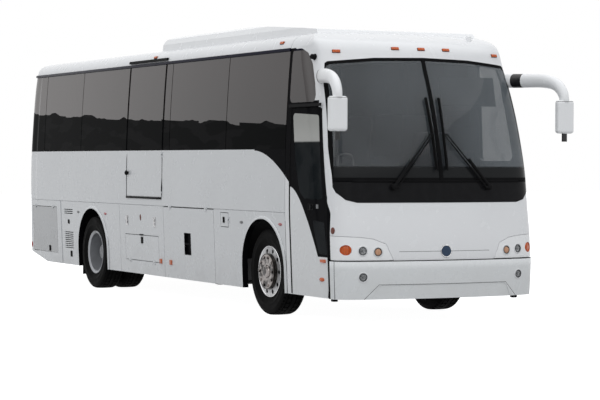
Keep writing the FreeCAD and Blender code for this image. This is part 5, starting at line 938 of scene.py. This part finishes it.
first_marker = None
for number, (kind, at, z, tint) in enumerate(MARKERS):
    material, slot = (red_lens, "red_lens") if tint == "red" else (amber_lens, "amber_lens")
    if kind == "nose":
        place = on_nose(at, z + MARKER_LIFT, ["front_mask"])
        lamp = marker("brow_marker_%d" % number, place, material)
    else:
        for word, side in SIDES:
            place = on_side(at, z + MARKER_LIFT, side, ["roof", "rear_cap"])
            lamp = marker("side_marker_%s_%d" % (word, number), place, material)
    first_marker = first_marker or lamp
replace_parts(first_marker, "marker_lamps")

# Wheels: polished alloy discs in front, with capped nuts round a bright hub cover, and silver
# painted steel twins behind with the drive flange and its nuts.
WHEEL_PLACES = {
    "front_right": (0, -1.055, -1), "front_left": (0, 1.055, 1),
    "rear_right": (-WHEELBASE, -0.9305, -1), "rear_left": (-WHEELBASE, 0.9305, 1),
}
NUT_COUNT = 10
NUT_CIRCLE = 0.1675
NUT_RADIUS = 0.0165
FLANGE_CIRCLE = 0.078
HAND_HOLES = 10
HAND_HOLE_CIRCLE = 0.2425
HAND_HOLE_RADIUS = 0.0265
FRONT_DEPTH = 1.135
REAR_DEPTH = 0.965
BRAKE_DUST_AND_SHADE = (0.16, 0.15, 0.14)
WHEEL_BACK_SHADE = (0.012, 0.011, 0.010)


def wheel_metal(name, colour, metallic, rough, streak, deep):
    """Turned metal with fine rings round the axle and painted reflection in bands, darker toward the hub with
    brake dust and painted shade, and the faces behind the disc painted black as painted shade.
    """
    finish = Finish(name)
    x, y, z = finish.axes()
    along = x - FRONT_AXLE + (x < 0) * WHEELBASE
    height = z - HUB_HEIGHT
    radius = (along * along + height * height) ** 0.5
    rings = (radius * 1400).wave()
    painted_reflection_bands = ((along * 9 + height * 5).wave() * 0.5 + 0.5) * finish.noise(5, 2).kept(0.3, 0.6)
    tone = finish.mix(painted_reflection_bands * 0.75, colour, toned(colour, 0.38))
    dust = radius.kept(0.29, 0.18) * finish.noise(18, 5).kept(0.3, 0.7)
    behind = y.size() < deep
    tone = finish.mix(behind, finish.mix(dust * 0.35, tone, BRAKE_DUST_AND_SHADE), WHEEL_BACK_SHADE)
    return finish.surface(Base_Color=tone, Metallic=metallic * (1 - behind),
                          Roughness=rough + dust * 0.3 + finish.noise(40, 3) * 0.06 + behind * 0.5,
                          Normal=finish.bump(rings, streak))


polished = wheel_metal("polished_alloy", (0.66, 0.66, 0.67), 1.0, 0.12, 0.00008, FRONT_DEPTH)
band_alloy = wheel_metal("band_alloy", (0.60, 0.60, 0.61), 0.5, 0.3, 0.00004, FRONT_DEPTH)
silver = wheel_metal("silver_paint", (0.36, 0.37, 0.39), 0.5, 0.34, 0.00002, REAR_DEPTH)
# The hub cover's chrome and its edge are painted dark as a painted reflection.
hub_metal = plated("hub_chrome", (0.30, 0.275, 0.265), 0.1, 0.16)
hub_edge = plated("hub_edge", (0.06, 0.055, 0.05), 0.2)
wear(polished, "wheel_front_right", "wheel_front_left")
wear(silver, "wheels_rear_right", "wheels_rear_left")


def axle_frame(key, out=0.0):
    """A frame in the middle of a wheel with Z pointing outwards."""
    x, y, side = WHEEL_PLACES[key]
    turn = Matrix.Rotation(-side * math.pi / 2, 4, "X")
    return Matrix.Translation((FRONT_AXLE + x, y + side * out, HUB_HEIGHT)) @ turn


def share_of_turn(number, count):
    """The turn about Z that brings one of several pieces round a circle to its place."""
    return Matrix.Rotation(2 * math.pi * number / count, 4, "Z")


def nuts(name, circle, height, radius, tall, matrix, material, body):
    """A ring of capped hexagon nuts on washers, one modelled and the rest copied."""
    nut = turned(name, [
        (0, tall), (radius * 0.55, tall * 0.97), (radius * 0.8, tall * 0.8), (radius, tall * 0.62),
        (radius, 0.004), (radius * 1.3, 0.003), (radius * 1.3, 0.0), (0, 0.0)], 6)
    at = Matrix.Translation((circle, 0, height))
    ring = [copied(nut, "%s_%d" % (name, number), share_of_turn(number, NUT_COUNT) @ at)
            for number in range(NUT_COUNT)]
    bpy.data.objects.remove(nut)
    dressed(placed(joined(name, ring), matrix), material, body, 20)


for word, side in SIDES:
    wheel, body, slot = axle_frame("front_" + word), "front_wheel_" + word, "polished_wheel"
    nuts("front_nuts_" + word, NUT_CIRCLE, 0.1655, NUT_RADIUS, 0.016, wheel, hub_metal, body)
    lathe("front_hub_cover_" + word, [
        (0, 0.1790), (0.050, 0.1785), (0.066, 0.1770), (0.074, 0.1730), (0.080, 0.1600), (0.094, 0.1590),
        (0.120, 0.1630), (0.150, 0.1655), (0.186, 0.1655), (0.194, 0.1640), (0.197, 0.1610), (0, 0.1125)],
        wheel, hub_metal, body, 60)
    lathe("front_cover_edge_" + word, [
        (0.197, 0.1620), (0.202, 0.1640), (0.207, 0.1600), (0.209, 0.1500), (0.209, 0.1180), (0.197, 0.1180)],
        wheel, hub_edge, body, 60, True)
    band = turned("front_disc_band_" + word, [
        (0.205, 0.1125), (0.205, 0.1185), (0.232, 0.1165), (0.268, 0.1135), (0.2835, 0.1185),
        (0.2835, 0.1105), (0.262, 0.1055), (0.232, 0.1095)], 60, True)
    cutters = []
    for number in range(HAND_HOLES):
        drill = begin("drill_%d" % number, "cylinder", vertices=24, radius=HAND_HOLE_RADIUS, depth=0.04,
                      location=(HAND_HOLE_CIRCLE, 0, 0.112))
        cutters.append(placed(drill, share_of_turn(number, HAND_HOLES)))
    drills = joined("hand_hole_drills", cutters)
    apply(band, "BOOLEAN", operation="DIFFERENCE", object=drills)
    bpy.data.objects.remove(drills)
    dressed(placed(band, wheel), band_alloy, body)
    lathe("front_hole_shade_" + word, [(0.212, 0.1122), (0.264, 0.1045), (0.264, 0.1035), (0.212, 0.1112)],
          wheel, trim_black, body, 60, True)
    lathe("front_rim_bead_" + word, [
        (0.2985, 0.108), (0.2985, 0.1185), (0.294, 0.1225), (0.287, 0.1215), (0.283, 0.115), (0.286, 0.110)],
        wheel, polished, body, 72, True)
    wheel, body, slot = axle_frame("rear_" + word), "rear_wheels_" + word, "silver_wheel"
    nuts("rear_nuts_" + word, NUT_CIRCLE, 0.0452, NUT_RADIUS, 0.030, wheel, silver, body)
    nuts("drive_flange_bolts_" + word, FLANGE_CIRCLE, 0.1852, 0.009, 0.012, wheel, silver, body)
    lathe("drive_flange_" + word, [
        (0, 0.199), (0.034, 0.198), (0.048, 0.192), (0.060, 0.1875), (0.0935, 0.1875), (0.0945, 0.185),
        (0, 0.1850)], wheel, silver, body)

# Tyres: 295/80 radials. Four straight grooves run round the tread, sipes cut the shoulders, and the
# sidewalls have moulded rings. Each is one carcass turned round the axle, and the rear ones are twins.
TYRE_STEPS = 120
TWIN_OFFSET = 0.1675
HALF_PROFILE = [
    (0.2895, 0.100), (0.300, 0.1095), (0.312, 0.1125), (0.318, 0.1165), (0.326, 0.1175), (0.345, 0.131),
    (0.375, 0.1425), (0.380, 0.1458), (0.386, 0.1462), (0.391, 0.1440), (0.415, 0.1455), (0.440, 0.1435),
    (0.446, 0.1450), (0.452, 0.1430), (0.470, 0.1360), (0.484, 0.1290), (0.4955, 0.1200), (0.5005, 0.1060),
    (0.5020, 0.0900), (0.4905, 0.0885), (0.4905, 0.0795), (0.5030, 0.0780), (0.5040, 0.0340),
    (0.4905, 0.0325), (0.4905, 0.0235), (0.5045, 0.0220),
]


def tyre_rubber():
    """Black tread rubber, greyed by dust."""
    finish = Finish("tyre_rubber")
    dust = finish.noise(9, 6, 0.65).kept(0.35, 0.75)
    tone = finish.mix(dust * 0.4, (0.004, 0.004, 0.0042), (0.014, 0.0135, 0.0125))
    return finish.surface(Base_Color=tone, Roughness=0.6 + dust * 0.2, Specular_IOR_Level=0.04,
                          Normal=finish.bump(finish.noise(240, 3), 0.0006))


def carcass(name):
    """One tyre at the origin, its axle along Z."""
    profile = HALF_PROFILE + [(radius, -across) for radius, across in reversed(HALF_PROFILE)]
    piece = turned(name, profile, TYRE_STEPS, True)
    pitch = 2 * math.pi / TYRE_STEPS

    def sipe(middle, normal):
        """Every other face of the shoulders and of the centre ribs."""
        step = int((math.atan2(middle.y, middle.x) % (2 * math.pi)) / pitch)
        radius = math.hypot(middle.x, middle.y)
        across = abs(middle.z)
        shoulder = radius > 0.483 and 0.100 < across < 0.136 and step % 2 == 0
        rib = radius > 0.5 and 0.034 < across < 0.079 and step % 3 == 0
        return shoulder or rib

    choose(piece, sipe)
    bpy.ops.mesh.inset(thickness=0.0025, depth=-0.0065, use_individual=True)
    close()
    return piece


tyre_black = tyre_rubber()
first_tyre = carcass("tyre_carcass")
for word, side in SIDES:
    single = copied(first_tyre, "front_tyre_" + word, axle_frame("front_" + word))
    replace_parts(dressed(single, tyre_black, "front_wheel_" + word), "tyre_front_" + word)
    twins = [copied(first_tyre, "rear_tyre_%s_%d" % (word, number), axle_frame("rear_" + word, out))
             for number, out in enumerate((TWIN_OFFSET, -TWIN_OFFSET))]
    pair = joined("rear_tyres_" + word, twins)
    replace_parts(dressed(pair, tyre_black, "rear_wheels_" + word), "tyres_rear_" + word)
bpy.data.objects.remove(first_tyre)

# Mirrors: white moulded arms with a black collar near the root, hanging heads with a black lower
# cap, and a flat and a convex glass in each head's rear face.
ARM_COLLAR = (FRONT_AXLE + 1.425, FRONT_AXLE + 1.545)
MIRROR_PAINT = (0.88, 0.89, 0.90)
MIRROR_CAP = 2.098
MIRROR_SEAM = (2.452, 2.458)
MIRROR_BACK = FRONT_AXLE + 2.135
MIRROR_OUT = 1.428
MIRROR_HALF = 0.078
MIRROR_PANES = (("flat", 2.235, 2.435), ("convex", 2.130, 2.222))


def mirror_paint():
    """White shell with its black collar, lower cap and seam."""
    finish = Finish("mirror_shell")
    along, height = finish.axes("XZ")
    black = along.between(*ARM_COLLAR) + (height < MIRROR_CAP) + height.between(*MIRROR_SEAM)
    return finish.surface(Base_Color=finish.mix(black, MIRROR_PAINT, GLOSS_BLACK),
                          Roughness=0.22 + finish.noise(14, 3) * 0.08,
                          Normal=finish.bump(finish.noise(140, 2), 0.0003))


def silvered():
    """Mirror glass."""
    finish = Finish("mirror_silver")
    tone = finish.mix(finish.noise(4, 2), (0.80, 0.82, 0.84), (0.74, 0.77, 0.79))
    return finish.surface(Base_Color=tone, Metallic=1.0, Roughness=0.03)


wear(mirror_paint(), "mirrors")
silver_glass = silvered()
for word, side in SIDES:
    for label, low, high in MIRROR_PANES:
        pane = box("mirror_%s_%s" % (label, word), MIRROR_BACK - 0.003, MIRROR_BACK + 0.004,
                   side * MIRROR_OUT - MIRROR_HALF, side * MIRROR_OUT + MIRROR_HALF, low, high)
        dressed(rounded(sunk(pane, back, (0.006, 0.001)), 0.002, 2), silver_glass, "root")

# Screen foot: a round rubber strip pressed into the joint between the windshield's seal and the black
# panel below it.
STRIP_HALF = 1.05
STRIP_POINTS = 15
strip = []
for number in range(STRIP_POINTS):
    y = -STRIP_HALF + 2 * STRIP_HALF * number / (STRIP_POINTS - 1)
    above = on_nose(y, 1.592, ["windshield", "windshield_seal"]).translation
    strip.append(above.lerp(on_nose(y, 1.535, ["wiper_panel"]).translation, 0.5))
dressed(bead("screen_foot_strip", strip, 0.013), seal_rubber, "root")

# Wipers: black arms with cast heads at the spindles and rubber blades in a pressed bow. The blades
# stand almost upright beside the middle strip of the windshield.
WIPER_HEEL = (0.600, 1.500)
WIPER_KNEE = (0.345, 1.800)
WIPER_FOOT = (0.064, 1.69)
WIPER_RUN = (0.018, 0.79)
WIPER_POINTS = 8
WIPER_PANELS = ["wiper_panel", "front_mask"]


def blade_line(side, out):
    """Points along one blade, at a distance from the glass."""
    return [on_nose(side * (WIPER_FOOT[0] + WIPER_RUN[0] * k / WIPER_POINTS),
                    WIPER_FOOT[1] + WIPER_RUN[1] * k / WIPER_POINTS, ["windshield"], out).translation
            for k in range(WIPER_POINTS + 1)]


for word, side in SIDES:
    heel = on_nose(side * WIPER_HEEL[0], WIPER_HEEL[1], WIPER_PANELS, 0.048).translation
    knee = on_nose(side * WIPER_KNEE[0], WIPER_KNEE[1], ["windshield"], 0.050).translation
    arm = [heel, heel.lerp(knee, 0.3), heel.lerp(knee, 0.6), knee]
    dressed(bead("wiper_arm_" + word, arm, 0.017, order=3), trim_black)
    lathe("wiper_head_" + word, [
        (0, 0.030), (0.018, 0.029), (0.030, 0.022), (0.034, 0.008), (0.036, -0.012), (0, -0.012)],
        on_nose(side * WIPER_HEEL[0], WIPER_HEEL[1], WIPER_PANELS, 0.040), trim_black, steps=24)
    rubber_edge = bead("wiper_rubber_" + word, blade_line(side, 0.014), 0.0075, order=3)
    dressed(rubber_edge, seal_rubber, "root")
    dressed(bead("wiper_bow_" + word, blade_line(side, 0.026), 0.010, order=3), trim_black)

# Small fittings on the sides: paddle latches, oval lamps, pressed trays with a tie bar, the amber
# reflectors by the sill and the oval covers beside the wheel arches. A place is the distance from the
# front axle and the height.
brown_lens = lens("brown_lens", (0.16, 0.035, 0.02), 0.98)
rose_lens = lens("rose_lens", (0.50, 0.12, 0.13), 0.98)
grey_lens = lens("grey_lens", (0.16, 0.165, 0.17), 0.98)
pressed_steel = plated("pressed_steel", (0.55, 0.55, 0.56), 0.2)
SILL_REFLECTORS = ((-3.10, 0.485), (-2.77, 0.485))
SIDE_COVERS = ((-6.12, 1.052), (-5.05, 1.052), (-0.583, 1.058), (0.467, 1.062))
TIE_TRAYS = (-4.24, -3.28)
SIDE_SKIN = ["skirt_panels", "side_wall_right", "side_wall_left", "lift_compartment_lid",
             "luggage_door_right", "luggage_door_left", "rear_flap_right", "rear_flap_left",
             "entry_door", "front_mask", "rear_cap", "fuel_flap", "lift_door"]


def paddle_latch(name, matrix, wide=0.07, tall=0.085):
    """A pressed black tray with a folding handle across it."""
    tray = begin(name, "cube", size=1, location=(0, 0, 0.002), scale=(wide, tall, 0.008))
    sunk(tray, top, (0.006, 0), (0.002, -0.005))
    handle = begin(name + "_handle", "cube", size=1, location=(0, 0, 0.0055),
                   scale=(wide * 0.3, tall * 0.66, 0.008))
    rounded(handle, 0.003, 2)
    lock = turned(name + "_lock", [(0, 0.0095), (0.006, 0.0095), (0.0085, 0.008), (0.009, 0.0), (0, 0.0)], 16)
    placed(lock, Matrix.Translation((wide * 0.3, 0, 0)))
    return placed(joined(name, [rounded(tray, 0.002, 2), handle, lock]), matrix)


def oval_lamp(name, matrix, wide, tall, deep=0.010):
    """A low oval dome on a rim."""
    dome = turned(name, [(0, 1.0), (0.45, 0.93), (0.78, 0.65), (0.9, 0.35), (0.92, 0.2), (1.0, 0.18),
                         (1.0, -0.1), (0, -0.1)], 32)
    placed(dome, Matrix.Diagonal((wide / 2, tall / 2, deep, 1)))
    return placed(dome, matrix)


def flat_plate(name, matrix, wide, tall, deep=0.003):
    """A thin plate or block lens with rounded corners."""
    plate = begin(name, "cube", size=1, location=(0, 0, deep / 3), scale=(wide, tall, deep))
    return placed(rounded(sunk(plate, top, (0.003, 0.0005)), 0.001, 2), matrix)


def fitting(kind, label, x, z, material=trim_black, body="root", slot="trim_black", side=-1, **sizes):
    """Seats one fitting on a side at a distance from the front axle and a height."""
    return dressed(kind(label, on_side(x, z, side, SIDE_SKIN), **sizes), material, body)


fitting(paddle_latch, "lift_lid_latch", -3.728, 0.735, body="lift_compartment_lid")
fitting(paddle_latch, "fuel_flap_latch", -1.085, 1.075, body="fuel_flap", wide=0.05, tall=0.07)
fitting(paddle_latch, "service_latch_high", -6.52, 0.905, wide=0.06, tall=0.06)
fitting(paddle_latch, "service_latch_low", -6.45, 0.445)
for word, side in SIDES:
    fitting(paddle_latch, "rear_flap_latch_" + word, -7.36, 0.492, body="rear_flap_" + word, side=side)
    fitting(oval_lamp, "corner_lamp_" + word, -8.16, 0.52, red_lens, "root", "red_lens", side,
            wide=0.05, tall=0.085)
    for number, (x, z) in enumerate(SILL_REFLECTORS):
        body = "root" if number == 0 else "luggage_door_" + word
        fitting(flat_plate, "sill_reflector_%s_%d" % (word, number), x, z, amber_lens, body,
                "amber_lens", side, wide=0.075, tall=0.06, deep=0.012)
    for number, (x, z) in enumerate(SIDE_COVERS):
        fitting(oval_lamp, "side_cover_%s_%d" % (word, number), x, z, rose_lens if number % 2 else grey_lens,
                "root", "lamp_lens", side, wide=0.10, tall=0.034)
fitting(oval_lamp, "lift_panel_lamp", -3.76, 1.035, brown_lens, "root", "red_lens", wide=0.036, tall=0.085)
for number, x in enumerate(TIE_TRAYS):
    fitting(paddle_latch, "tie_tray_%d" % number, x, 0.985, pressed_steel, "root", "lamp_lens",
            wide=0.085, tall=0.13)
fitting(flat_plate, "lid_keeper", -3.74, 0.806, wide=0.12, tall=0.016, deep=0.012)
fitting(flat_plate, "door_lamp_orange", 1.514, 0.693, amber_lens, "entry_door", "amber_lens", wide=0.12,
        tall=0.034, deep=0.014)
fitting(oval_lamp, "door_lamp_amber", 1.47, 0.488, amber_lens, "entry_door", "amber_lens", wide=0.12,
        tall=0.045, deep=0.016)
fitting(oval_lamp, "corner_lamp_brown", 1.735, 1.03, brown_lens, "root", "red_lens", wide=0.06, tall=0.075)

# Entry door hardware: a black pull in its tray beside a grey lock plate, and the lift door's round
# black knob on its rose.
pull = paddle_latch("entry_door_pull", on_side(1.251, 1.277, -1, ["entry_door"]), 0.14, 0.07)
dressed(pull, trim_black, "entry_door")
fitting(flat_plate, "entry_door_lock", 1.40, 1.285, grey_lens, "entry_door", "lamp_lens", wide=0.05,
        tall=0.045)
lathe("lift_door_knob", [
    (0, 0.045), (0.018, 0.044), (0.030, 0.036), (0.034, 0.024), (0.026, 0.012), (0.018, 0.004), (0.022, 0.0),
    (0, 0.0)], on_side(-4.19, 1.62, -1, ["lift_door"]), trim_black, "lift_door", steps=24)

# Rubber buffers under the bumper's ends, the round black stop on the roof pillar by the door and the
# cap on the end of the rail over it.
BUFFERS = ((1.665, -1.19), (1.85, 0.98))
BUFFER_HALF = 0.03
for number, (x, y) in enumerate(BUFFERS):
    foot = box("bumper_buffer_%d" % number, FRONT_AXLE + x - BUFFER_HALF, FRONT_AXLE + x + BUFFER_HALF,
               y - BUFFER_HALF, y + BUFFER_HALF, 0.258, 0.292)
    dressed(rounded(foot, 0.008), seal_rubber, "root")
lathe("pillar_stop", [
    (0, 0.055), (0.020, 0.054), (0.028, 0.046), (0.030, 0.010), (0.036, 0.004), (0.036, 0.0), (0, 0.0)],
    on_side(1.19, 2.93, -1, ["front_mask"]), trim_black, steps=28)
lathe("door_rail_end", [(0, 0.026), (0.016, 0.025), (0.024, 0.018), (0.026, 0.0), (0, 0.0)],
      on_side(1.50, 2.402, -1, ["drip_rails", "front_mask"]), trim_black, steps=24)

# Rear: lamp columns banded red, amber and clear, a louvred grille pressed into the engine lid, and a
# bare white registration plate on its four screws.
PLATE_X = FRONT_AXLE - 8.372
PLATE_MIDDLE = 0.57
PLATE_HALF = (0.1525, 0.076)
PLATE_SCREWS = (0.089, 0.0605)
AMBER_BAND = (1.30, 1.42)
CLEAR_BAND = (0.99, 1.09)
LAMP_RED = (0.52, 0.018, 0.016)
LAMP_AMBER = (0.85, 0.30, 0.03)
LAMP_CLEAR = (0.74, 0.75, 0.76)
LOUVRES = 9
LOUVRE_PITCH = 0.045
LOUVRE_POINTS = 8


def rear_lamp_lens():
    """One moulding in three colours with a black joint between them."""
    finish = Finish("rear_lamp_lens")
    height = finish.height()
    colour = finish.mix(height.between(*AMBER_BAND), LAMP_RED, LAMP_AMBER)
    colour = finish.mix(height.between(*CLEAR_BAND), colour, LAMP_CLEAR)
    joint = sum(height.near(level, 0.004) for level in AMBER_BAND + CLEAR_BAND)
    return finish.surface(Base_Color=finish.mix(joint, colour, GLOSS_BLACK), Roughness=0.1, Coat_Weight=0.8,
                          Coat_Roughness=0.03, Normal=finish.bump((height * 210).wave(), 0.0008))


wear(rear_lamp_lens(), "rear_lamps")
slats = []
for row in range(LOUVRES):
    starts = [(FRONT_AXLE - 9, -0.58 + 1.16 * k / LOUVRE_POINTS, 0.90 + LOUVRE_PITCH * row)
              for k in range(LOUVRE_POINTS + 1)]
    line = [seat_on(["engine_lid"], start, (1, 0, 0), 0.002).translation for start in starts]
    slats.append(bead("louvre_%d" % row, line, 0.0095, ring=3))
slat_paint = lacquer("slat_paint", (0.30, 0.305, 0.31), 0.3)
dressed(joined("engine_louvres", slats), slat_paint, "engine_lid")
plate = box("blank_plate", PLATE_X - 0.003, PLATE_X + 0.0005, -PLATE_HALF[0], PLATE_HALF[0],
            PLATE_MIDDLE - PLATE_HALF[1], PLATE_MIDDLE + PLATE_HALF[1])
rounded(sunk(plate, back, (0.006, 0.0006)), 0.001, 2)
dressed(plate, lacquer("bare_plate", (0.70, 0.71, 0.72), 0.3), "root")
FACING_BACK = Matrix.Rotation(-math.pi / 2, 4, "Y")
screws = []
for number, (y, z) in enumerate(((-1, -1), (1, -1), (-1, 1), (1, 1))):
    screw = turned("plate_screw_%d" % number, [
        (0, 0.003), (0.004, 0.0027), (0.0065, 0.001), (0.0065, -0.001), (0, -0.001)], 16)
    at = (PLATE_X - 0.003, y * PLATE_SCREWS[0], PLATE_MIDDLE + z * PLATE_SCREWS[1])
    screws.append(placed(screw, Matrix.Translation(at) @ FACING_BACK))
dressed(joined("plate_screws", screws), bright_chrome, "root")

# Underneath: black-painted axles, frame and knuckles, grey zinc plate in the luggage spaces painted dark as
# painted shade, ribbed floor cover above, and the cast block of the engine.


def shaded_zinc_plate():
    """Ribbed grey plate, scuffed by luggage, its grey painted dark as painted shade under the body."""
    finish = Finish("luggage_plate_shaded")
    ribs = (finish.axes("X")[0] * 62).wave().kept(0.2, 0.9)
    scuff = finish.noise(6, 6, 0.65).kept(0.5, 0.7)
    tone = finish.mix(scuff * 0.6, (0.09, 0.09, 0.095), (0.15, 0.145, 0.14))
    return finish.surface(Base_Color=tone, Metallic=0.3, Roughness=0.5, Normal=finish.bump(ribs, 0.003))


def ribbed_floor():
    """Hard-wearing floor cover with fine ribs along the aisle."""
    finish = Finish("floor_cover")
    ribs = (finish.axes("Y")[0] * 420).wave()
    tone = finish.mix(finish.noise(3, 5, 0.6).kept(0.4, 0.75) * 0.5, (0.11, 0.11, 0.115), (0.17, 0.16, 0.15))
    return finish.surface(Base_Color=tone, Roughness=0.7, Normal=finish.bump(ribs, 0.0015))


def cast_iron():
    """Rough casting with oily patches."""
    finish = Finish("engine_casting")
    oil = finish.noise(5, 6, 0.7).kept(0.45, 0.7)
    tone = finish.mix(oil, (0.16, 0.16, 0.165), (0.05, 0.045, 0.04))
    return finish.surface(Base_Color=tone, Metallic=0.6, Roughness=0.6 - oil * 0.25,
                          Normal=finish.bump(finish.noise(110, 4), 0.002))


def bright_steel():
    """Brushed stainless tube."""
    finish = Finish("bright_steel")
    grain = finish.noise(60, 3, 0.5, (1, 1, 0.05))
    return finish.surface(Base_Color=(0.62, 0.62, 0.63), Metallic=1.0, Roughness=0.22 + grain * 0.2,
                          Normal=finish.bump(grain, 0.0002))


wear(rubber("chassis_paint", (0.014, 0.014, 0.015), 0.5, 90, 0.0008), "front_axle_beam", "rear_axle",
     "chassis_frame", "knuckle_right", "knuckle_left", "tie_rod")
wear(shaded_zinc_plate(), "luggage_tubs")
wear(ribbed_floor(), "floor", "cab_floor")
wear(cast_iron(), "engine_block")
steel = bright_steel()
wear(steel, "door_post")

# Cab: a grained dark grey dashboard with an instrument bezel, the steering wheel, grab rails by the
# door and the sun blind behind the driver's top corner of the windshield.
DIALS = (0.51, 0.62, 0.73)
DIAL_FACE = [(0, 0.004), (0.036, 0.004), (0.040, 0.009), (0.045, 0.006), (0.045, 0), (0, 0)]
STAIR_RAIL = [(-0.970, 0.649), (-0.970, 1.74), (-0.960, 1.84), (-0.910, 1.862), (-0.830, 1.862),
              (-0.780, 1.84), (-0.770, 1.74), (-0.770, 0.649)]
DOOR_RAIL = [(0.86, 1.40), (0.90, 1.42), (1.00, 1.50), (1.16, 1.64), (1.27, 1.73), (1.31, 1.75)]
wear(rubber("dash_plastic", (0.055, 0.056, 0.060), 0.6, 500, 0.0004), "dashboard")
wear(rubber("wheel_rim_leather", (0.02, 0.02, 0.021), 0.5, 380, 0.0004), "steering_wheel")
hood = box("instrument_bezel", FRONT_AXLE + 1.384, FRONT_AXLE + 1.402, 0.42, 0.82, 1.40, 1.525)
rounded(sunk(hood, back, (0.012, 0), (0.003, -0.008)), 0.004)
dressed(hood, trim_black, "root")
for number, y in enumerate(DIALS):
    lathe("dial_%d" % number, DIAL_FACE, Matrix.Translation((FRONT_AXLE + 1.392, y, 1.463)) @ FACING_BACK,
          bright_chrome, "root", 32)
blind = box("sun_blind", FRONT_AXLE + 1.30, FRONT_AXLE + 1.325, 0.30, 1.02, 2.42, 2.74)
choose(blind, bottom)
bpy.ops.transform.translate(value=(0.07, 0, 0))
bpy.ops.mesh.inset(thickness=0.004, depth=0.01)
close()
dressed(rounded(blind, 0.008), trim_black, "root")
rail = bead("stair_grab_rail", [(FRONT_AXLE + 1.30, y, z) for y, z in STAIR_RAIL], 0.013, order=3)
dressed(rail, steel, "root")
rail = bead("door_grab_rail", [(FRONT_AXLE + x, -1.175, z) for x, z in DOOR_RAIL], 0.012, order=3)
dressed(rail, steel, "entry_door")

# Seats: woven blue-grey covers over moulded foam, two to a frame, with raised sides and a headrest
# each. Rows stand on both sides of the aisle and leave the lift door's bay free.
SEAT_ROWS = 10
SEAT_PITCH = 0.80
SEAT_OUT = 0.745
FIRST_ROW = -0.1
DECK = 1.290
CAB_DECK = 1.075
FREE_BAY = (-4.685, -2.585)
REST_LEAN = math.radians(-80)


def seat_cloth():
    """Plain weave with a pale fleck."""
    finish = Finish("seat_cloth")
    across, height = finish.axes("YZ")
    weave = (across * 1300).wave() * (height * 1300).wave()
    fleck = finish.noise(70, 2).kept(0.52, 0.6)
    tone = finish.mix(fleck * 0.6, (0.050, 0.056, 0.075), (0.12, 0.13, 0.16))
    return finish.surface(Base_Color=tone, Roughness=0.9, Sheen_Weight=0.3, Normal=finish.bump(weave, 0.0006))


def cushion(name, wide, deep, tall, crown):
    """A crowned foam block: bevelled, drawn up in the middle, with a sewn border."""
    pad = begin(name, "cube", size=1, location=(0, 0, 0), scale=(deep, wide, tall))
    bpy.ops.object.mode_set(mode="EDIT")
    bpy.ops.mesh.select_all(action="SELECT")
    bpy.ops.mesh.subdivide(number_cuts=3)
    close()
    for point in pad.data.vertices:
        across, along = point.co.y / (wide / 2), point.co.x / (deep / 2)
        up = point.co.z / (tall / 2)
        swell = (1 - across ** 4) * (1 - along ** 4)
        point.co.z += crown * swell * (1 if up > 0 else 0.2)
        if abs(across) > 0.9:
            point.co.z += crown * 0.6 * max(up, 0)
        point.co.y *= 1 - 0.03 * along ** 4
    apply(pad, "BEVEL", width=min(deep, wide, tall) * 0.22, segments=2, limit_method="ANGLE")
    return apply(pad, "SUBSURF", levels=1, render_levels=1)


def seat_pads(name, wide, places):
    """Cushion, backrest and headrest for each place of one seat."""
    parts = []
    for number, y in enumerate(places):
        lean = Matrix.Rotation(REST_LEAN, 4, "Y")
        base = cushion("%s_base_%d" % (name, number), wide, 0.42, 0.10, 0.012)
        rest = cushion("%s_rest_%d" % (name, number), wide, 0.62, 0.085, 0.014)
        head = cushion("%s_head_%d" % (name, number), wide * 0.62, 0.11, 0.07, 0.010)
        parts += [placed(base, Matrix.Translation((0.005, y, 0.38))),
                  placed(rest, Matrix.Translation((-0.235, y, 0.74)) @ lean),
                  placed(head, Matrix.Translation((-0.222, y, 0.985)) @ lean)]
    return joined(name, parts)


def seat_frame(name, wide):
    """Pedestal, arm rests and pan of one seat."""
    half = wide / 2
    legs = box(name + "_leg", -0.16, 0.12, -0.05, 0.05, 0.0005, 0.33)
    choose(legs, bottom)
    bpy.ops.transform.resize(value=(1.15, 1.9, 1), center_override=(-0.02, 0, 0))
    close()
    parts = [rounded(legs, 0.008, 2)]
    for y in (-half + 0.012, half - 0.012):
        arm = box(name + "_arm", -0.17, 0.13, y - 0.012, y + 0.012, 0.52, 0.56)
        choose(arm, lambda middle, normal: normal.x > 0.9)
        bpy.ops.mesh.extrude_region_move(TRANSFORM_OT_translate={"value": (0.03, 0, -0.03)})
        close()
        parts.append(rounded(arm, 0.008, 2))
    pan = box(name + "_pan", -0.20, 0.19, -half + 0.02, half - 0.02, 0.322, 0.335)
    return joined(name, parts + [rounded(pan, 0.004, 2)])


cloth = seat_cloth()
double_pads = seat_pads("double_seat", 0.40, (-0.212, 0.212))
double_frame = seat_frame("double_frame", 0.85)
first_seat = None
for row in range(SEAT_ROWS):
    x = FIRST_ROW - SEAT_PITCH * row
    for word, side in reversed(SIDES):
        if side < 0 and FREE_BAY[0] < x < FREE_BAY[1]:
            continue
        at = Matrix.Translation((FRONT_AXLE + x, side * SEAT_OUT, DECK))
        pads = dressed(copied(double_pads, "seat_%s_%d" % (word, row), at), cloth, "root", 60)
        first_seat = first_seat or pads
        dressed(copied(double_frame, "seat_frame_%s_%d" % (word, row), at), trim_black)
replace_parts(first_seat, "seats")
at = Matrix.Translation((FRONT_AXLE + 0.83, 0.62, CAB_DECK))
driver = dressed(placed(seat_pads("driver_seat", 0.48, (0,)), at), cloth, "root", 60)
dressed(placed(seat_frame("driver_frame", 0.52), at), trim_black)
bpy.data.objects.remove(double_pads)
bpy.data.objects.remove(double_frame)
